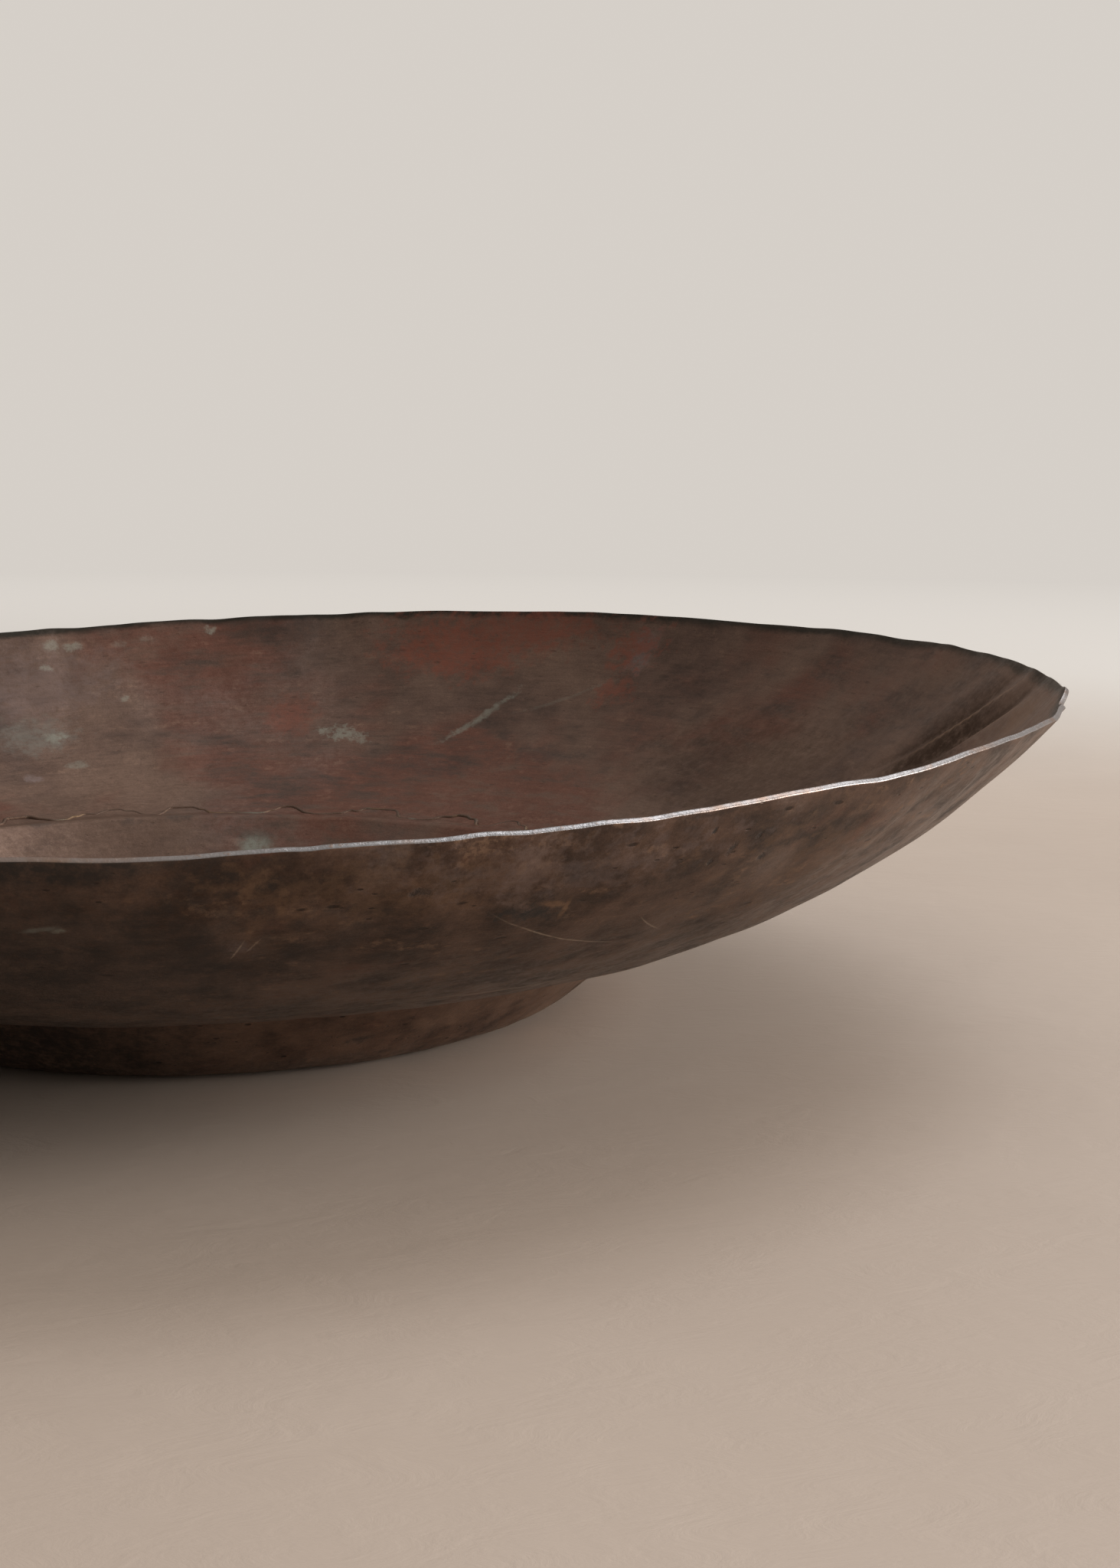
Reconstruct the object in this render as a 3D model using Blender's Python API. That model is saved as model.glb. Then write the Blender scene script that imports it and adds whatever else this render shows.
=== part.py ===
"""Hammered copper bowl: a flaring wall of sheet copper lapped over a shallow base pan and brazed.

The bowl stands on the flat floor of its pan. Its origin is the centre of that floor, on the
surface it stands on, with +Z up. Every piece is turned about Z, then swayed a little out of
round and out of level towards the rim, as a bowl raised by hand is.
"""
from math import atan, atan2, cos, hypot, pi, radians, sin, tan

import bmesh
import bpy
from mathutils import Vector

# Driving dimensions, in metres.
RIM_RADIUS = 0.280
SHEET = 0.0018             # thickness of the copper
EDGE = 0.0010              # what the hammer leaves of it at a lapped edge
FLOOR_RADIUS = 0.1126      # the flat that the bowl stands on
CORNER_RADIUS = 0.031      # outer bend between the floor and the band
BAND_SLOPE = radians(42)   # the pan's side, above the floor
BEND_RADIUS = 0.1573       # where the pan's side bends out into its flange
COLLAR = 0.0035            # how far the wall's edge is dressed down over the band
LAP = 0.012                # how far the pan's flange reaches up inside the wall
BRAZE_WIDTH = 0.0035       # the fillet at the flange's inner edge
FIT_GAP = 0.0003           # between two pieces that touch

# The wall's slope is START + STEADY * t + UPTURN * t ** 7, where t runs 0 to 1 from crease to rim.
WALL_START = 0.14
WALL_STEADY = 0.76
WALL_UPTURN = 0.45

# Each sway is (waves in a turn, amplitude, phase), at full size on the rim and none at the crease.
# The rises grow steadily up the wall, and the spreads only flare its last stretch.
RIM_RISES = ((1, 0.0080, radians(11)), (2, 0.0030, radians(64)), (3, 0.0016, radians(-122)))
RIM_SPREADS = ((2, 0.0029, 0.0), (3, 0.0023, radians(-45)))
RISE_POWER = 1.2
SPREAD_POWER = 6

# How finely the pieces are divided.
TURN_STEPS = 96
WALL_STEPS = 9
CORNER_STEPS = 4
FLANGE_STEPS = 2


def bend():
    """The outer side of the pan where its band bends out into the flange."""
    band_foot = FLOOR_RADIUS + CORNER_RADIUS * sin(BAND_SLOPE)
    height = CORNER_RADIUS * (1 - cos(BAND_SLOPE)) + (BEND_RADIUS - band_foot) * tan(BAND_SLOPE)
    return Vector((BEND_RADIUS, height))


def crease():
    """The wall's outer corner, one sheet and one gap outside the pan's bend."""
    wall_slope = atan(WALL_START)
    lean = (BAND_SLOPE + wall_slope) / 2
    depth = (SHEET + FIT_GAP) / cos((BAND_SLOPE - wall_slope) / 2)
    return bend() + depth * Vector((sin(lean), -cos(lean)))


def wall_point(t):
    """A point of the wall's outer side, from t = 0 at the crease to t = 1 at the rim."""
    corner = crease()
    run = RIM_RADIUS - corner.x
    rise = WALL_START * t + WALL_STEADY * t ** 2 / 2 + WALL_UPTURN * t ** 8 / 8
    return corner + run * Vector((t, rise))


def wall_share(width):
    """The part of the wall's run that a short width above the crease takes up."""
    return width / (RIM_RADIUS - crease().x)


def inward(line, depths):
    """The line moved in from the outer side by a depth at each point, mitred at its bends."""
    moved = []
    for i, point in enumerate(line):
        steps = [line[j + 1] - line[j] for j in (i - 1, i) if 0 <= j < len(line) - 1]
        normals = [Vector((-step.y, step.x)).normalized() for step in steps]
        middle = sum(normals, Vector((0, 0))).normalized()
        moved.append(point + middle * depths[i] / middle.dot(normals[0]))
    return moved


def collar_end():
    """The outer line's lower end, before the hammer thinned it."""
    return crease() - COLLAR * Vector((cos(BAND_SLOPE), sin(BAND_SLOPE)))


def wall_section():
    """The wall's closed section: a thinned collar at its foot, one sheet's thickness, a cut rim."""
    outer = [collar_end()] + [wall_point(i / WALL_STEPS) for i in range(WALL_STEPS + 1)]
    inner = inward(outer, [SHEET] * len(outer))
    outer[0] = outer[0].lerp(inner[0], 1 - EDGE / SHEET)
    return outer + inner[::-1]


def flange_line():
    """The pan's outer line inside the lap, from its bend to the flange's edge."""
    reach = wall_share(LAP)
    cover = [collar_end()] + [wall_point(reach * i / FLANGE_STEPS) for i in range(FLANGE_STEPS + 2)]
    return inward(cover, [SHEET + FIT_GAP] * len(cover))[1:-1]


def pan_section():
    """The pan's section, from the axis out along its underside and back along its inside."""
    turns = [BAND_SLOPE * i / CORNER_STEPS for i in range(CORNER_STEPS + 1)]
    corner = [Vector((FLOOR_RADIUS + CORNER_RADIUS * sin(a), CORNER_RADIUS * (1 - cos(a)))) for a in turns]
    outer = [Vector((0, 0))] + corner + flange_line()
    inner = inward(outer, [SHEET] * (len(outer) - 1) + [EDGE])
    return outer + inner[::-1]


def braze_section():
    """The brass fillet that fills the step from the flange's edge down to the wall's inside."""
    start = wall_share(LAP + FIT_GAP)
    width = wall_share(BRAZE_WIDTH)
    line = [wall_point(start + width * i / 2) for i in range(3)]
    foot = inward(line, [SHEET + FIT_GAP] * 3)
    top = inward(line, [SHEET + FIT_GAP + EDGE, SHEET + FIT_GAP + 0.4 * EDGE, 0])
    return foot + [top[1], top[0]]


def waves_at(waves, angle):
    """The sum of some waves around the bowl, at one angle."""
    return sum(size * cos(count * angle - phase) for count, size, phase in waves)


def sway(point):
    """Where the hammer left a point of the round bowl."""
    radius = hypot(point.x, point.y)
    climb = max(0.0, (radius - BEND_RADIUS) / (RIM_RADIUS - BEND_RADIUS))
    angle = atan2(point.y, point.x)
    rise = climb ** RISE_POWER * waves_at(RIM_RISES, angle)
    spread = climb ** SPREAD_POWER * waves_at(RIM_SPREADS, angle)
    return point + Vector((spread * cos(angle), spread * sin(angle), rise))


def finish(name, colour, metallic, roughness):
    """A Principled material of one colour."""
    material = bpy.data.materials.new(name)
    material.use_nodes = True
    shader = material.node_tree.nodes["Principled BSDF"]
    shader.inputs["Base Color"].default_value = (*colour, 1)
    shader.inputs["Metallic"].default_value = metallic
    shader.inputs["Roughness"].default_value = roughness
    return material


def turned_piece(name, section, material):
    """A closed solid made by turning a closed section about Z, then swaying it."""
    mesh = bmesh.new()
    ring = [mesh.verts.new((point.x, 0, point.y)) for point in section]
    edges = [mesh.edges.new((ring[i - 1], ring[i])) for i in range(len(ring))
             if section[i - 1].x > 0 or section[i].x > 0]
    bmesh.ops.spin(mesh, geom=ring + edges, cent=(0, 0, 0), axis=(0, 0, 1), angle=2 * pi,
                   steps=TURN_STEPS, use_merge=True)
    bmesh.ops.remove_doubles(mesh, verts=mesh.verts, dist=1e-6)
    bmesh.ops.recalc_face_normals(mesh, faces=mesh.faces)
    for vert in mesh.verts:
        vert.co = sway(vert.co)
    data = bpy.data.meshes.new(name)
    mesh.to_mesh(data)
    mesh.free()
    data.shade_smooth()
    data.set_sharp_from_angle(angle=radians(28))
    data.materials.append(material)
    piece = bpy.data.objects.new(name, data)
    bpy.context.scene.collection.objects.link(piece)
    return piece


def main():
    for old in list(bpy.data.objects):
        bpy.data.objects.remove(old, do_unlink=True)
    dark_copper = finish("dark_copper", (0.115, 0.062, 0.045), 0.85, 0.45)
    warm_copper = finish("warm_copper", (0.140, 0.070, 0.046), 0.85, 0.50)
    dull_brass = finish("dull_brass", (0.240, 0.170, 0.085), 0.90, 0.50)
    turned_piece("bowl_wall", wall_section(), dark_copper)
    turned_piece("base_pan", pan_section(), warm_copper)
    turned_piece("seam_braze", braze_section(), dull_brass)


main()
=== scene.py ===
"""Hammered copper bowl: two raised copper sheets with an old patina, brazed at a toothed lap.

The wall and the base pan are turned from their section lines and planished by Geometry Nodes,
dressed with the flutes and kinks that hand work left, and given their sheet thickness. A bead of
brass closes the seam. Lengths are in metres and angles of marks in degrees round from +X.
"""

import logging
from collections.abc import Callable
from dataclasses import dataclass
from enum import Enum
from math import atan, cos, hypot, pi, radians, sin, tan

import bmesh
import bpy
import numpy as np
from mathutils import Matrix, Vector


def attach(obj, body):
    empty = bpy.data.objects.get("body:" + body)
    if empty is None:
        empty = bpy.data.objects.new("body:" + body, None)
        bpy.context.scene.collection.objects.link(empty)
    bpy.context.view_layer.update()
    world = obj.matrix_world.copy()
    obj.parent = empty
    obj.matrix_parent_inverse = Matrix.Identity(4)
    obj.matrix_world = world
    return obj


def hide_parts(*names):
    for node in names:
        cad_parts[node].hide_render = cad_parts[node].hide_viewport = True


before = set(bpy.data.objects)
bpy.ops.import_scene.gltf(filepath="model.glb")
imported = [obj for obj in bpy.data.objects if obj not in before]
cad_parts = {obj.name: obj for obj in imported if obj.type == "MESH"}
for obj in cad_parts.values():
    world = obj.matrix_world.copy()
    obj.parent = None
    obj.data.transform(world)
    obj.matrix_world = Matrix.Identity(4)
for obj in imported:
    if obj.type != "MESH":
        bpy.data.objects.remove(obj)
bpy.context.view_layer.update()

Colour = tuple[float, float, float]
Socket = bpy.types.NodeSocket
# What an input is fed: a socket to link from, a plain value, or None to leave it as it is.
Feed = Socket | float | str | tuple | None
MM = 0.001
# The height at which the hammering's noises are read. Both sheets share it, so their swells meet.
SEED = 0.37


# ---------------------------------------------------------------------------------------------
# Node recipes
# ---------------------------------------------------------------------------------------------

class Recipe:
    """Adds nodes to one tree and joins them up, so that a finish reads as a recipe."""

    def __init__(self, tree: bpy.types.NodeTree) -> None:
        """Starts a recipe in a tree.

        Args:
            tree: A shader or Geometry Nodes tree.
        """
        self.tree = tree

    def feed(self, socket: Socket, value: Feed) -> None:
        """Links a socket to another, or sets its own value.

        Args:
            socket: The input to feed.
            value: A socket to link from, or a plain value. None leaves the input as it is.
        """
        if isinstance(value, bpy.types.NodeSocket):
            self.tree.links.new(value, socket)
        elif value is not None:
            if socket.type == "RGBA" and len(value) == 3:
                value = (*value, 1.0)
            socket.default_value = value

    def add(self, kind: str, inputs: dict[str | int, Feed] | None = None,
            **settings: str | bool | bpy.types.NodeTree) -> bpy.types.Node:
        """Adds a node.

        Args:
            kind: The node's type name.
            inputs: Values or sockets by input name or number.
            settings: The node's own properties.

        Returns:
            The new node.
        """
        node = self.tree.nodes.new(kind)
        for key, value in settings.items():
            setattr(node, key, value)
        for key, value in (inputs or {}).items():
            self.feed(node.inputs[key], value)
        return node

    def math(self, operation: str, a: Feed, b: Feed = None, c: Feed = None) -> Socket:
        """The result of a Math node on up to three values."""
        return self.add("ShaderNodeMath", {0: a, 1: b, 2: c}, operation=operation).outputs[0]

    def vector(self, operation: str, a: Feed, b: Feed = None, scale: Feed = None) -> Socket:
        """The vector that a Vector Math node makes, or its number where that is what it makes."""
        node = self.add("ShaderNodeVectorMath", {0: a, 1: b, 3: scale}, operation=operation)
        return node.outputs["Value"] if operation in ("LENGTH", "DOT_PRODUCT") else node.outputs[0]

    def parts(self, vector: Socket) -> bpy.types.bpy_prop_collection:
        """The X, Y and Z sockets of a vector."""
        return self.add("ShaderNodeSeparateXYZ", {0: vector}).outputs

    def joined(self, x: Feed = None, y: Feed = None, z: Feed = None) -> Socket:
        """The vector made of up to three numbers. One that is left out is 0."""
        return self.add("ShaderNodeCombineXYZ", {"X": x, "Y": y, "Z": z}).outputs[0]

    def position(self) -> Socket:
        """Where each point of a Geometry Nodes tree's geometry is."""
        return self.add("GeometryNodeInputPosition").outputs[0]

    def noise(self, place: Socket, scale: Feed, detail: float = 3.0, rough: float = 0.55,
              warp: float = 0.0) -> Socket:
        """A soft noise from 0 to 1.

        Args:
            place: The vector it is read at.
            scale: Its features in a metre.
            detail: How many finer octaves it has.
            rough: How strong the finer octaves are.
            warp: How far it is twisted.

        Returns:
            The noise's value.
        """
        node = self.add("ShaderNodeTexNoise", {"Vector": place, "Scale": scale, "Detail": detail,
                                               "Roughness": rough, "Distortion": warp})
        return node.outputs[0]

    def cells(self, place: Socket, scale: Feed, feature: str = "F1",
              spread: float = 1.0) -> bpy.types.Node:
        """A Voronoi node of rounded cells."""
        return self.add("ShaderNodeTexVoronoi", {"Vector": place, "Scale": scale, "Randomness": spread},
                        feature=feature)

    def step(self, value: Socket, low: Feed, high: Feed, top: float = 1.0) -> Socket:
        """A smooth step.

        Args:
            value: What is measured.
            low: Where the step leaves 0.
            high: Where it reaches the top.
            top: Its highest value.

        Returns:
            The step's value.
        """
        node = self.add("ShaderNodeMapRange", {"Value": value, "From Min": low, "From Max": high,
                                               "To Max": top}, interpolation_type="SMOOTHSTEP")
        return node.outputs[0]

    def mixed(self, kind: str, share: Feed, a: Feed, b: Feed) -> Socket:
        """Two values mixed by a Mix node, whose sockets lie at a different number for each kind.

        Args:
            kind: FLOAT, VECTOR or RGBA.
            share: How much of the second there is, 0 to 1.
            a: The first value.
            b: The second value.

        Returns:
            The mixed value.
        """
        node = self.add("ShaderNodeMix", data_type=kind)
        first, result = {"FLOAT": (2, 0), "VECTOR": (4, 1), "RGBA": (6, 2)}[kind]
        for key, value in (("Factor", share), (first, a), (first + 1, b)):
            self.feed(node.inputs[key], value)
        return node.outputs[result]

    def blend(self, share: Feed, a: Feed, b: Feed) -> Socket:
        """One colour with another laid over it by a share from 0 to 1."""
        return self.mixed("RGBA", share, a, b)

    def shift(self, share: Feed, a: Feed, b: Feed) -> Socket:
        """One number moved towards another by a share from 0 to 1."""
        return self.mixed("FLOAT", share, a, b)

    def bump(self, shader: bpy.types.Node, height: Socket, distance: float,
             strength: float = 1.0) -> None:
        """Gives a shader a bumpy surface.

        Args:
            shader: The Principled shader.
            height: The surface's height.
            distance: How high a height of 1 is, in metres.
            strength: How much of it shows, 0 to 1.
        """
        node = self.add("ShaderNodeBump", {"Height": height, "Strength": strength, "Distance": distance})
        self.feed(shader.inputs["Normal"], node.outputs[0])


def new_finish(name: str) -> tuple[bpy.types.Material, Recipe, bpy.types.Node]:
    """Starts a material.

    Args:
        name: The material's name.

    Returns:
        The material, its recipe and its Principled shader.
    """
    material = bpy.data.materials.new(name)
    material.use_nodes = True
    return material, Recipe(material.node_tree), material.node_tree.nodes["Principled BSDF"]


def in_scene(name: str, data: bpy.types.ID) -> bpy.types.Object:
    """Puts a new object in the scene.

    Args:
        name: The object's name.
        data: Its mesh, light or camera.

    Returns:
        The object.
    """
    thing = bpy.data.objects.new(name, data)
    bpy.context.scene.collection.objects.link(thing)
    return thing


# ---------------------------------------------------------------------------------------------
# The patina's marks, also used for painted shade and painted highlights
# ---------------------------------------------------------------------------------------------

class MarkKind(Enum):
    """What a mark puts on the copper: (colour, metallic, roughness, height in mm). The soot and smoke
    kinds also serve as painted shade, and the tan and scratch kinds as painted highlights.
    """

    # Soot stains, and also painted shade on the sides turned from the lamps.
    SOOT_AND_PAINTED_SHADE = ((0.016, 0.012, 0.010), 0.20, 0.58, 0.0)
    # Mostly painted shade, and a general darkening of the bowl's floor.
    SMOKE = ((0.036, 0.021, 0.014), 0.85, 0.52, 0.0)
    # Tan stains, and also painted highlights and a painted sheen.
    TAN = ((0.230, 0.135, 0.080), 0.70, 0.44, 0.0)
    # Scratches, and also painted highlights along the wall's lower contour.
    SCRATCH_AND_PAINTED_HIGHLIGHT = ((0.420, 0.330, 0.250), 0.80, 0.40, -0.03)
    CUPRITE = ((0.185, 0.056, 0.035), 0.60, 0.42, 0.0)
    HAZE = ((0.155, 0.115, 0.108), 0.45, 0.55, 0.0)
    GREY_GREEN = ((0.120, 0.115, 0.098), 0.25, 0.62, 0.0)
    VERDIGRIS = ((0.215, 0.228, 0.188), 0.05, 0.78, 0.06)
    PIT = ((0.022, 0.015, 0.012), 0.20, 0.60, -0.20)


@dataclass(frozen=True)
class Mark:
    """One stain, scrape or scratch on the bowl, or one patch of painted shade or painted highlight.

    Attributes:
        kind: What it is.
        angle: Where its middle is, in degrees round from +X.
        radius: How far its middle is from the bowl's axis, in mm.
        length: Its half length along the turn, in mm.
        width: Its half width across the turn, in mm.
        tilt: How far it is turned from the turn's direction, in degrees.
        strength: How much it covers, 0 to 1.
        ragged: How far its edge wanders, as a share of its size.
        bend: How far its ends curve, in mm.
    """

    kind: MarkKind
    angle: float
    radius: float
    length: float
    width: float
    tilt: float = 0.0
    strength: float = 1.0
    ragged: float = 0.8
    bend: float = 0.0

    def spans(self) -> dict[str, float]:
        """The mark's two spans over X and Y, which are 0 in its middle and 1 at its edge.

        Returns:
            A number for each of the mark group's own inputs.
        """
        here, lean = radians(self.angle), radians(self.angle + self.tilt)
        middle = Vector((cos(here), sin(here))) * self.radius * MM
        across = Vector((cos(lean), sin(lean))) / (self.width * MM)
        along = Vector((-sin(lean), cos(lean))) / (self.length * MM)
        return {"Across X": across.x, "Across Y": across.y, "Across Start": -across.dot(middle),
                "Along X": along.x, "Along Y": along.y, "Along Start": -along.dot(middle),
                "Bend": self.bend / self.width, "Strength": self.strength, "Ragged": self.ragged}


def marks_of_kind(kind: MarkKind, *rows: tuple[float, ...]) -> tuple[Mark, ...]:
    """Several marks of one kind.

    Args:
        kind: What they are.
        rows: The other fields of each mark in their order, as far as they are not the usual ones.

    Returns:
        The marks.
    """
    return tuple(Mark(kind, *row) for row in rows)


def mark_group() -> bpy.types.ShaderNodeTree:
    """The shader group that says how much one mark covers a point.

    Returns:
        A group of plain number inputs, whose output runs from 0 to 1.
    """
    starts, full = 1.25, 0.35
    tree = bpy.data.node_groups.new("mark cover", "ShaderNodeTree")
    for name in ("X", "Y", "Stray X", "Stray Y", "Across X", "Across Y", "Across Start", "Along X",
                 "Along Y", "Along Start", "Bend", "Strength", "Ragged"):
        tree.interface.new_socket(name=name, in_out="INPUT", socket_type="NodeSocketFloat")
    tree.interface.new_socket(name="Cover", in_out="OUTPUT", socket_type="NodeSocketFloat")
    recipe = Recipe(tree)
    given = recipe.add("NodeGroupInput").outputs
    across = recipe.math("MULTIPLY_ADD", given["X"], given["Across X"], given["Across Start"])
    across = recipe.math("MULTIPLY_ADD", given["Y"], given["Across Y"], across)
    along = recipe.math("MULTIPLY_ADD", given["X"], given["Along X"], given["Along Start"])
    along = recipe.math("MULTIPLY_ADD", given["Y"], given["Along Y"], along)
    bowed = recipe.math("MULTIPLY", recipe.math("MULTIPLY", along, along), given["Bend"])
    across = recipe.math("SUBTRACT", across, bowed)
    across = recipe.math("MULTIPLY_ADD", given["Stray X"], given["Ragged"], across)
    along = recipe.math("MULTIPLY_ADD", given["Stray Y"], given["Ragged"], along)
    square = recipe.math("MULTIPLY", along, along)
    reach = recipe.math("SQRT", recipe.math("MULTIPLY_ADD", across, across, square))
    cover = recipe.math("MULTIPLY", recipe.step(reach, starts, full), given["Strength"])
    recipe.add("NodeGroupOutput", {"Cover": cover})
    return tree


class SkinPatterns:
    """The noises that a copper finish is made of.

    Attributes:
        place: Object coordinates.
        reach: The distance from the bowl's axis.
        along: How far up the sheet's line a point is, 0 to 1.
        turning: A place that changes slowly round the bowl and quickly up its side.
        broad: Clouds about twice as large as the patches.
        other: More such clouds, a little smaller.
        cloud: The patches.
        streak: Streaks that run round the bowl.
        grain: Grain of a few millimetres.
        fine: Grain of less than a millimetre.
        brushed: Close fine lines that run round the bowl.
    """

    # How fast a running place changes round the bowl, and up its side for streaks and fine lines.
    ROUND = 0.23
    STREAK_CLIMB = 3.4
    BRUSHED_CLIMB = 14.0
    # How many of each there are in a unit of the place that it is read at.
    STREAKS = 55
    GRAINS = 330
    FINE_GRAINS = 1500
    BRUSHED_LINES = 62
    # The two kinds of cloud, as shares of how many patches there are.
    BROAD = 0.45
    OTHER = 0.6

    def __init__(self, recipe: Recipe, patch: float, offset: Colour) -> None:
        """Lays the patterns out.

        Args:
            recipe: The finish's own recipe.
            patch: How many cloudy patches there are in a metre.
            offset: Shifts the patterns.
        """
        coordinates = recipe.add("ShaderNodeTexCoord").outputs
        self.place = coordinates["Object"]
        moved = recipe.vector("ADD", self.place, offset)
        flat = recipe.vector("MULTIPLY", self.place, (1.0, 1.0, 0.0))
        self.reach = recipe.vector("LENGTH", flat)
        self.along = recipe.parts(coordinates["UV"])["X"]
        climb = recipe.math("MULTIPLY_ADD", self.reach, self.STREAK_CLIMB, offset[2])
        ring = recipe.vector("NORMALIZE", flat)
        slow = recipe.vector("SCALE", ring, scale=self.ROUND)
        self.turning = recipe.vector("ADD", slow, recipe.joined(z=climb))

        self.broad = recipe.noise(moved, self.BROAD * patch, 3, 0.5, 0.15)
        self.other = recipe.noise(moved, self.OTHER * patch, 4, 0.55, 0.2)
        self.cloud = recipe.noise(moved, patch, 9, 0.62, 0.15)
        self.streak = recipe.noise(self.turning, self.STREAKS, 7, 0.66)
        self.grain = recipe.noise(moved, self.GRAINS, 5, 0.72)
        self.fine = recipe.noise(moved, self.FINE_GRAINS, 2, 0.6)
        narrow = recipe.joined(z=recipe.math("MULTIPLY", self.reach, self.BRUSHED_CLIMB))
        slow = recipe.vector("SCALE", ring, scale=self.ROUND)
        self.brushed = recipe.noise(recipe.vector("ADD", slow, narrow), self.BRUSHED_LINES, 4, 0.6)


def layer_cover(recipe: Recipe, noise: Socket, low: float, high: float, share: float) -> Socket:
    """Where a layer lies, which is where its noise is high enough.

    Args:
        recipe: The finish's own recipe.
        noise: The layer's noise.
        low: Where the layer starts when its share is 0.
        high: Where it is full when its share is 0.
        share: How much of the copper it covers, 0 to 1.

    Returns:
        The layer's cover from 0 to 1.
    """
    lowered = 0.4 * share
    return recipe.step(noise, low - lowered, high - lowered)


@dataclass(frozen=True)
class AgedCopper:
    """The old skin of one side of a copper sheet.

    Attributes:
        name: The finish's name.
        ground: Its main brown.
        warm: Its warmer, more worn brown.
        shade: Its darkest oxide.
        red: Its red oxide.
        pale: The pale bloom over it.
        bare: The metal where it is rubbed.
        patch: How many cloudy patches there are in a metre.
        contrast: How hard the patches' edges are, from 0, soft, to 1.
        dark_share: How much of it is under dark oxide, 0 to 1.
        red_share: How much is red, 0 to 1.
        pale_share: How much is under bloom, 0 to 1.
        rubbed: How strong the rubbed streaks are, 0 to 1.
        metal: How metallic it still looks, 0 to 1.
        gloss: The roughness of its shiny and its dull places.
        rim_darkening: How strongly the last stretch below the rim is blackened, 0 to 1.
        pan_warmth: How much warmer it gets towards the pan, 0 to 1.
        ridge_wear_and_highlight: Radius of a ridge that is rubbed bright and also carries a painted
            highlight, brighter than the bare metal. 0 means none.
        specks: How strong the small dark pits are, 0 to 1.
        glance: The tint of what it reflects at a low angle.
        offset: Shifts the pattern, so that no two finishes repeat each other.
        marks: The single marks on it: stains and scratches, and also patches of painted shade and painted
            highlight.
    """

    name: str
    ground: Colour
    warm: Colour
    shade: Colour
    red: Colour
    pale: Colour
    bare: Colour
    patch: float
    contrast: float
    dark_share: float
    red_share: float
    pale_share: float
    rubbed: float
    metal: float
    gloss: tuple[float, float]
    rim_darkening: float
    pan_warmth: float
    ridge_wear_and_highlight: float
    specks: float
    glance: Colour
    offset: Colour
    marks: tuple[Mark, ...] = ()

    def covers(self, recipe: Recipe, group: bpy.types.ShaderNodeTree,
               place: Socket) -> dict[MarkKind, Socket]:
        """How much each kind of mark, stain, painted shade or painted highlight, covers a point.

        Args:
            recipe: The finish's own recipe.
            group: The mark group.
            place: Object coordinates.

        Returns:
            A cover from 0 to 1 for each kind that this finish has.
        """
        edge_waves, edge_swing = 190.0, 4.0
        wander = recipe.add("ShaderNodeTexNoise", {"Vector": place, "Scale": edge_waves, "Detail": 4.0,
                                                   "Roughness": 0.7}).outputs["Color"]
        centred = recipe.vector("SUBTRACT", wander, (0.5, 0.5, 0.5))
        stray = recipe.parts(recipe.vector("SCALE", centred, scale=edge_swing))
        here = recipe.parts(place)
        shared = {"X": here["X"], "Y": here["Y"], "Stray X": stray["X"], "Stray Y": stray["Y"]}
        covers: dict[MarkKind, Socket] = {}
        for mark in self.marks:
            node = recipe.add("ShaderNodeGroup", shared | mark.spans(), node_tree=group)
            cover = node.outputs["Cover"]
            if mark.kind in covers:
                cover = recipe.math("MAXIMUM", covers[mark.kind], cover)
            covers[mark.kind] = cover
        return covers

    def layers(self, recipe: Recipe, look: SkinPatterns) -> tuple[Socket, Socket]:
        """Lays the browns, the red oxide, the bloom, the dark oxide and the rubbed metal.

        Args:
            recipe: The finish's own recipe.
            look: Its patterns.

        Returns:
            The colour, and how much dark oxide covers a point.
        """
        soft = 0.5 - 0.32 * self.contrast
        worn_brown = recipe.step(look.cloud, 0.5 - soft / 2, 0.5 + soft / 2)
        colour = recipe.blend(worn_brown, self.ground, self.warm)
        if self.pan_warmth:
            warm_from, warm_to = 0.215, 0.15
            near_pan = recipe.step(look.reach, warm_from, warm_to, self.pan_warmth)
            colour = recipe.blend(near_pan, colour, self.warm)
        reddened = recipe.math("MULTIPLY", layer_cover(recipe, look.other, 0.72, 0.86, self.red_share),
                               recipe.step(look.streak, 0.25, 0.6, 0.8))
        colour = recipe.blend(reddened, colour, self.red)
        bloom = recipe.math("MULTIPLY", layer_cover(recipe, look.broad, 0.74, 0.9, self.pale_share),
                            recipe.step(look.grain, 0.1, 0.80, 0.7))
        colour = recipe.blend(bloom, colour, self.pale)
        patchy = recipe.math("MULTIPLY_ADD", look.streak, 0.5, recipe.math("MULTIPLY", look.cloud, 0.5))
        middle = 0.28 + 0.3 * self.dark_share
        oxide = recipe.math("MULTIPLY", recipe.step(patchy, middle + soft / 4, middle - soft / 4),
                            recipe.step(look.grain, 0.25, 0.55, 0.85))
        colour = recipe.blend(oxide, colour, self.shade)
        rub = recipe.math("MULTIPLY", recipe.step(look.streak, 0.53, 0.66),
                          recipe.step(look.grain, 0.46, 0.60, self.rubbed))
        if self.ridge_wear_and_highlight:
            # The ridge ring is partly rubbed metal and partly a painted highlight, lighter than the bare
            # metal itself.
            ridge_foot, ridge_top, highlight_gain = 0.0026, 0.0006, 1.7
            off = recipe.math("ABSOLUTE", recipe.math("SUBTRACT", look.reach, self.ridge_wear_and_highlight))
            ridge = recipe.math("MULTIPLY", recipe.step(off, ridge_foot, ridge_top),
                                recipe.step(look.streak, 0.34, 0.54, 0.85))
            colour = recipe.blend(ridge, colour, tuple(highlight_gain * part for part in self.bare))
        colour = recipe.blend(rub, colour, self.bare)
        lively = recipe.math("MULTIPLY_ADD", recipe.math("ADD", look.grain, look.fine), 0.60, 0.15)
        lively = recipe.math("MULTIPLY_ADD", look.brushed, 0.50, lively)
        return recipe.vector("MULTIPLY", colour, lively), oxide

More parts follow.
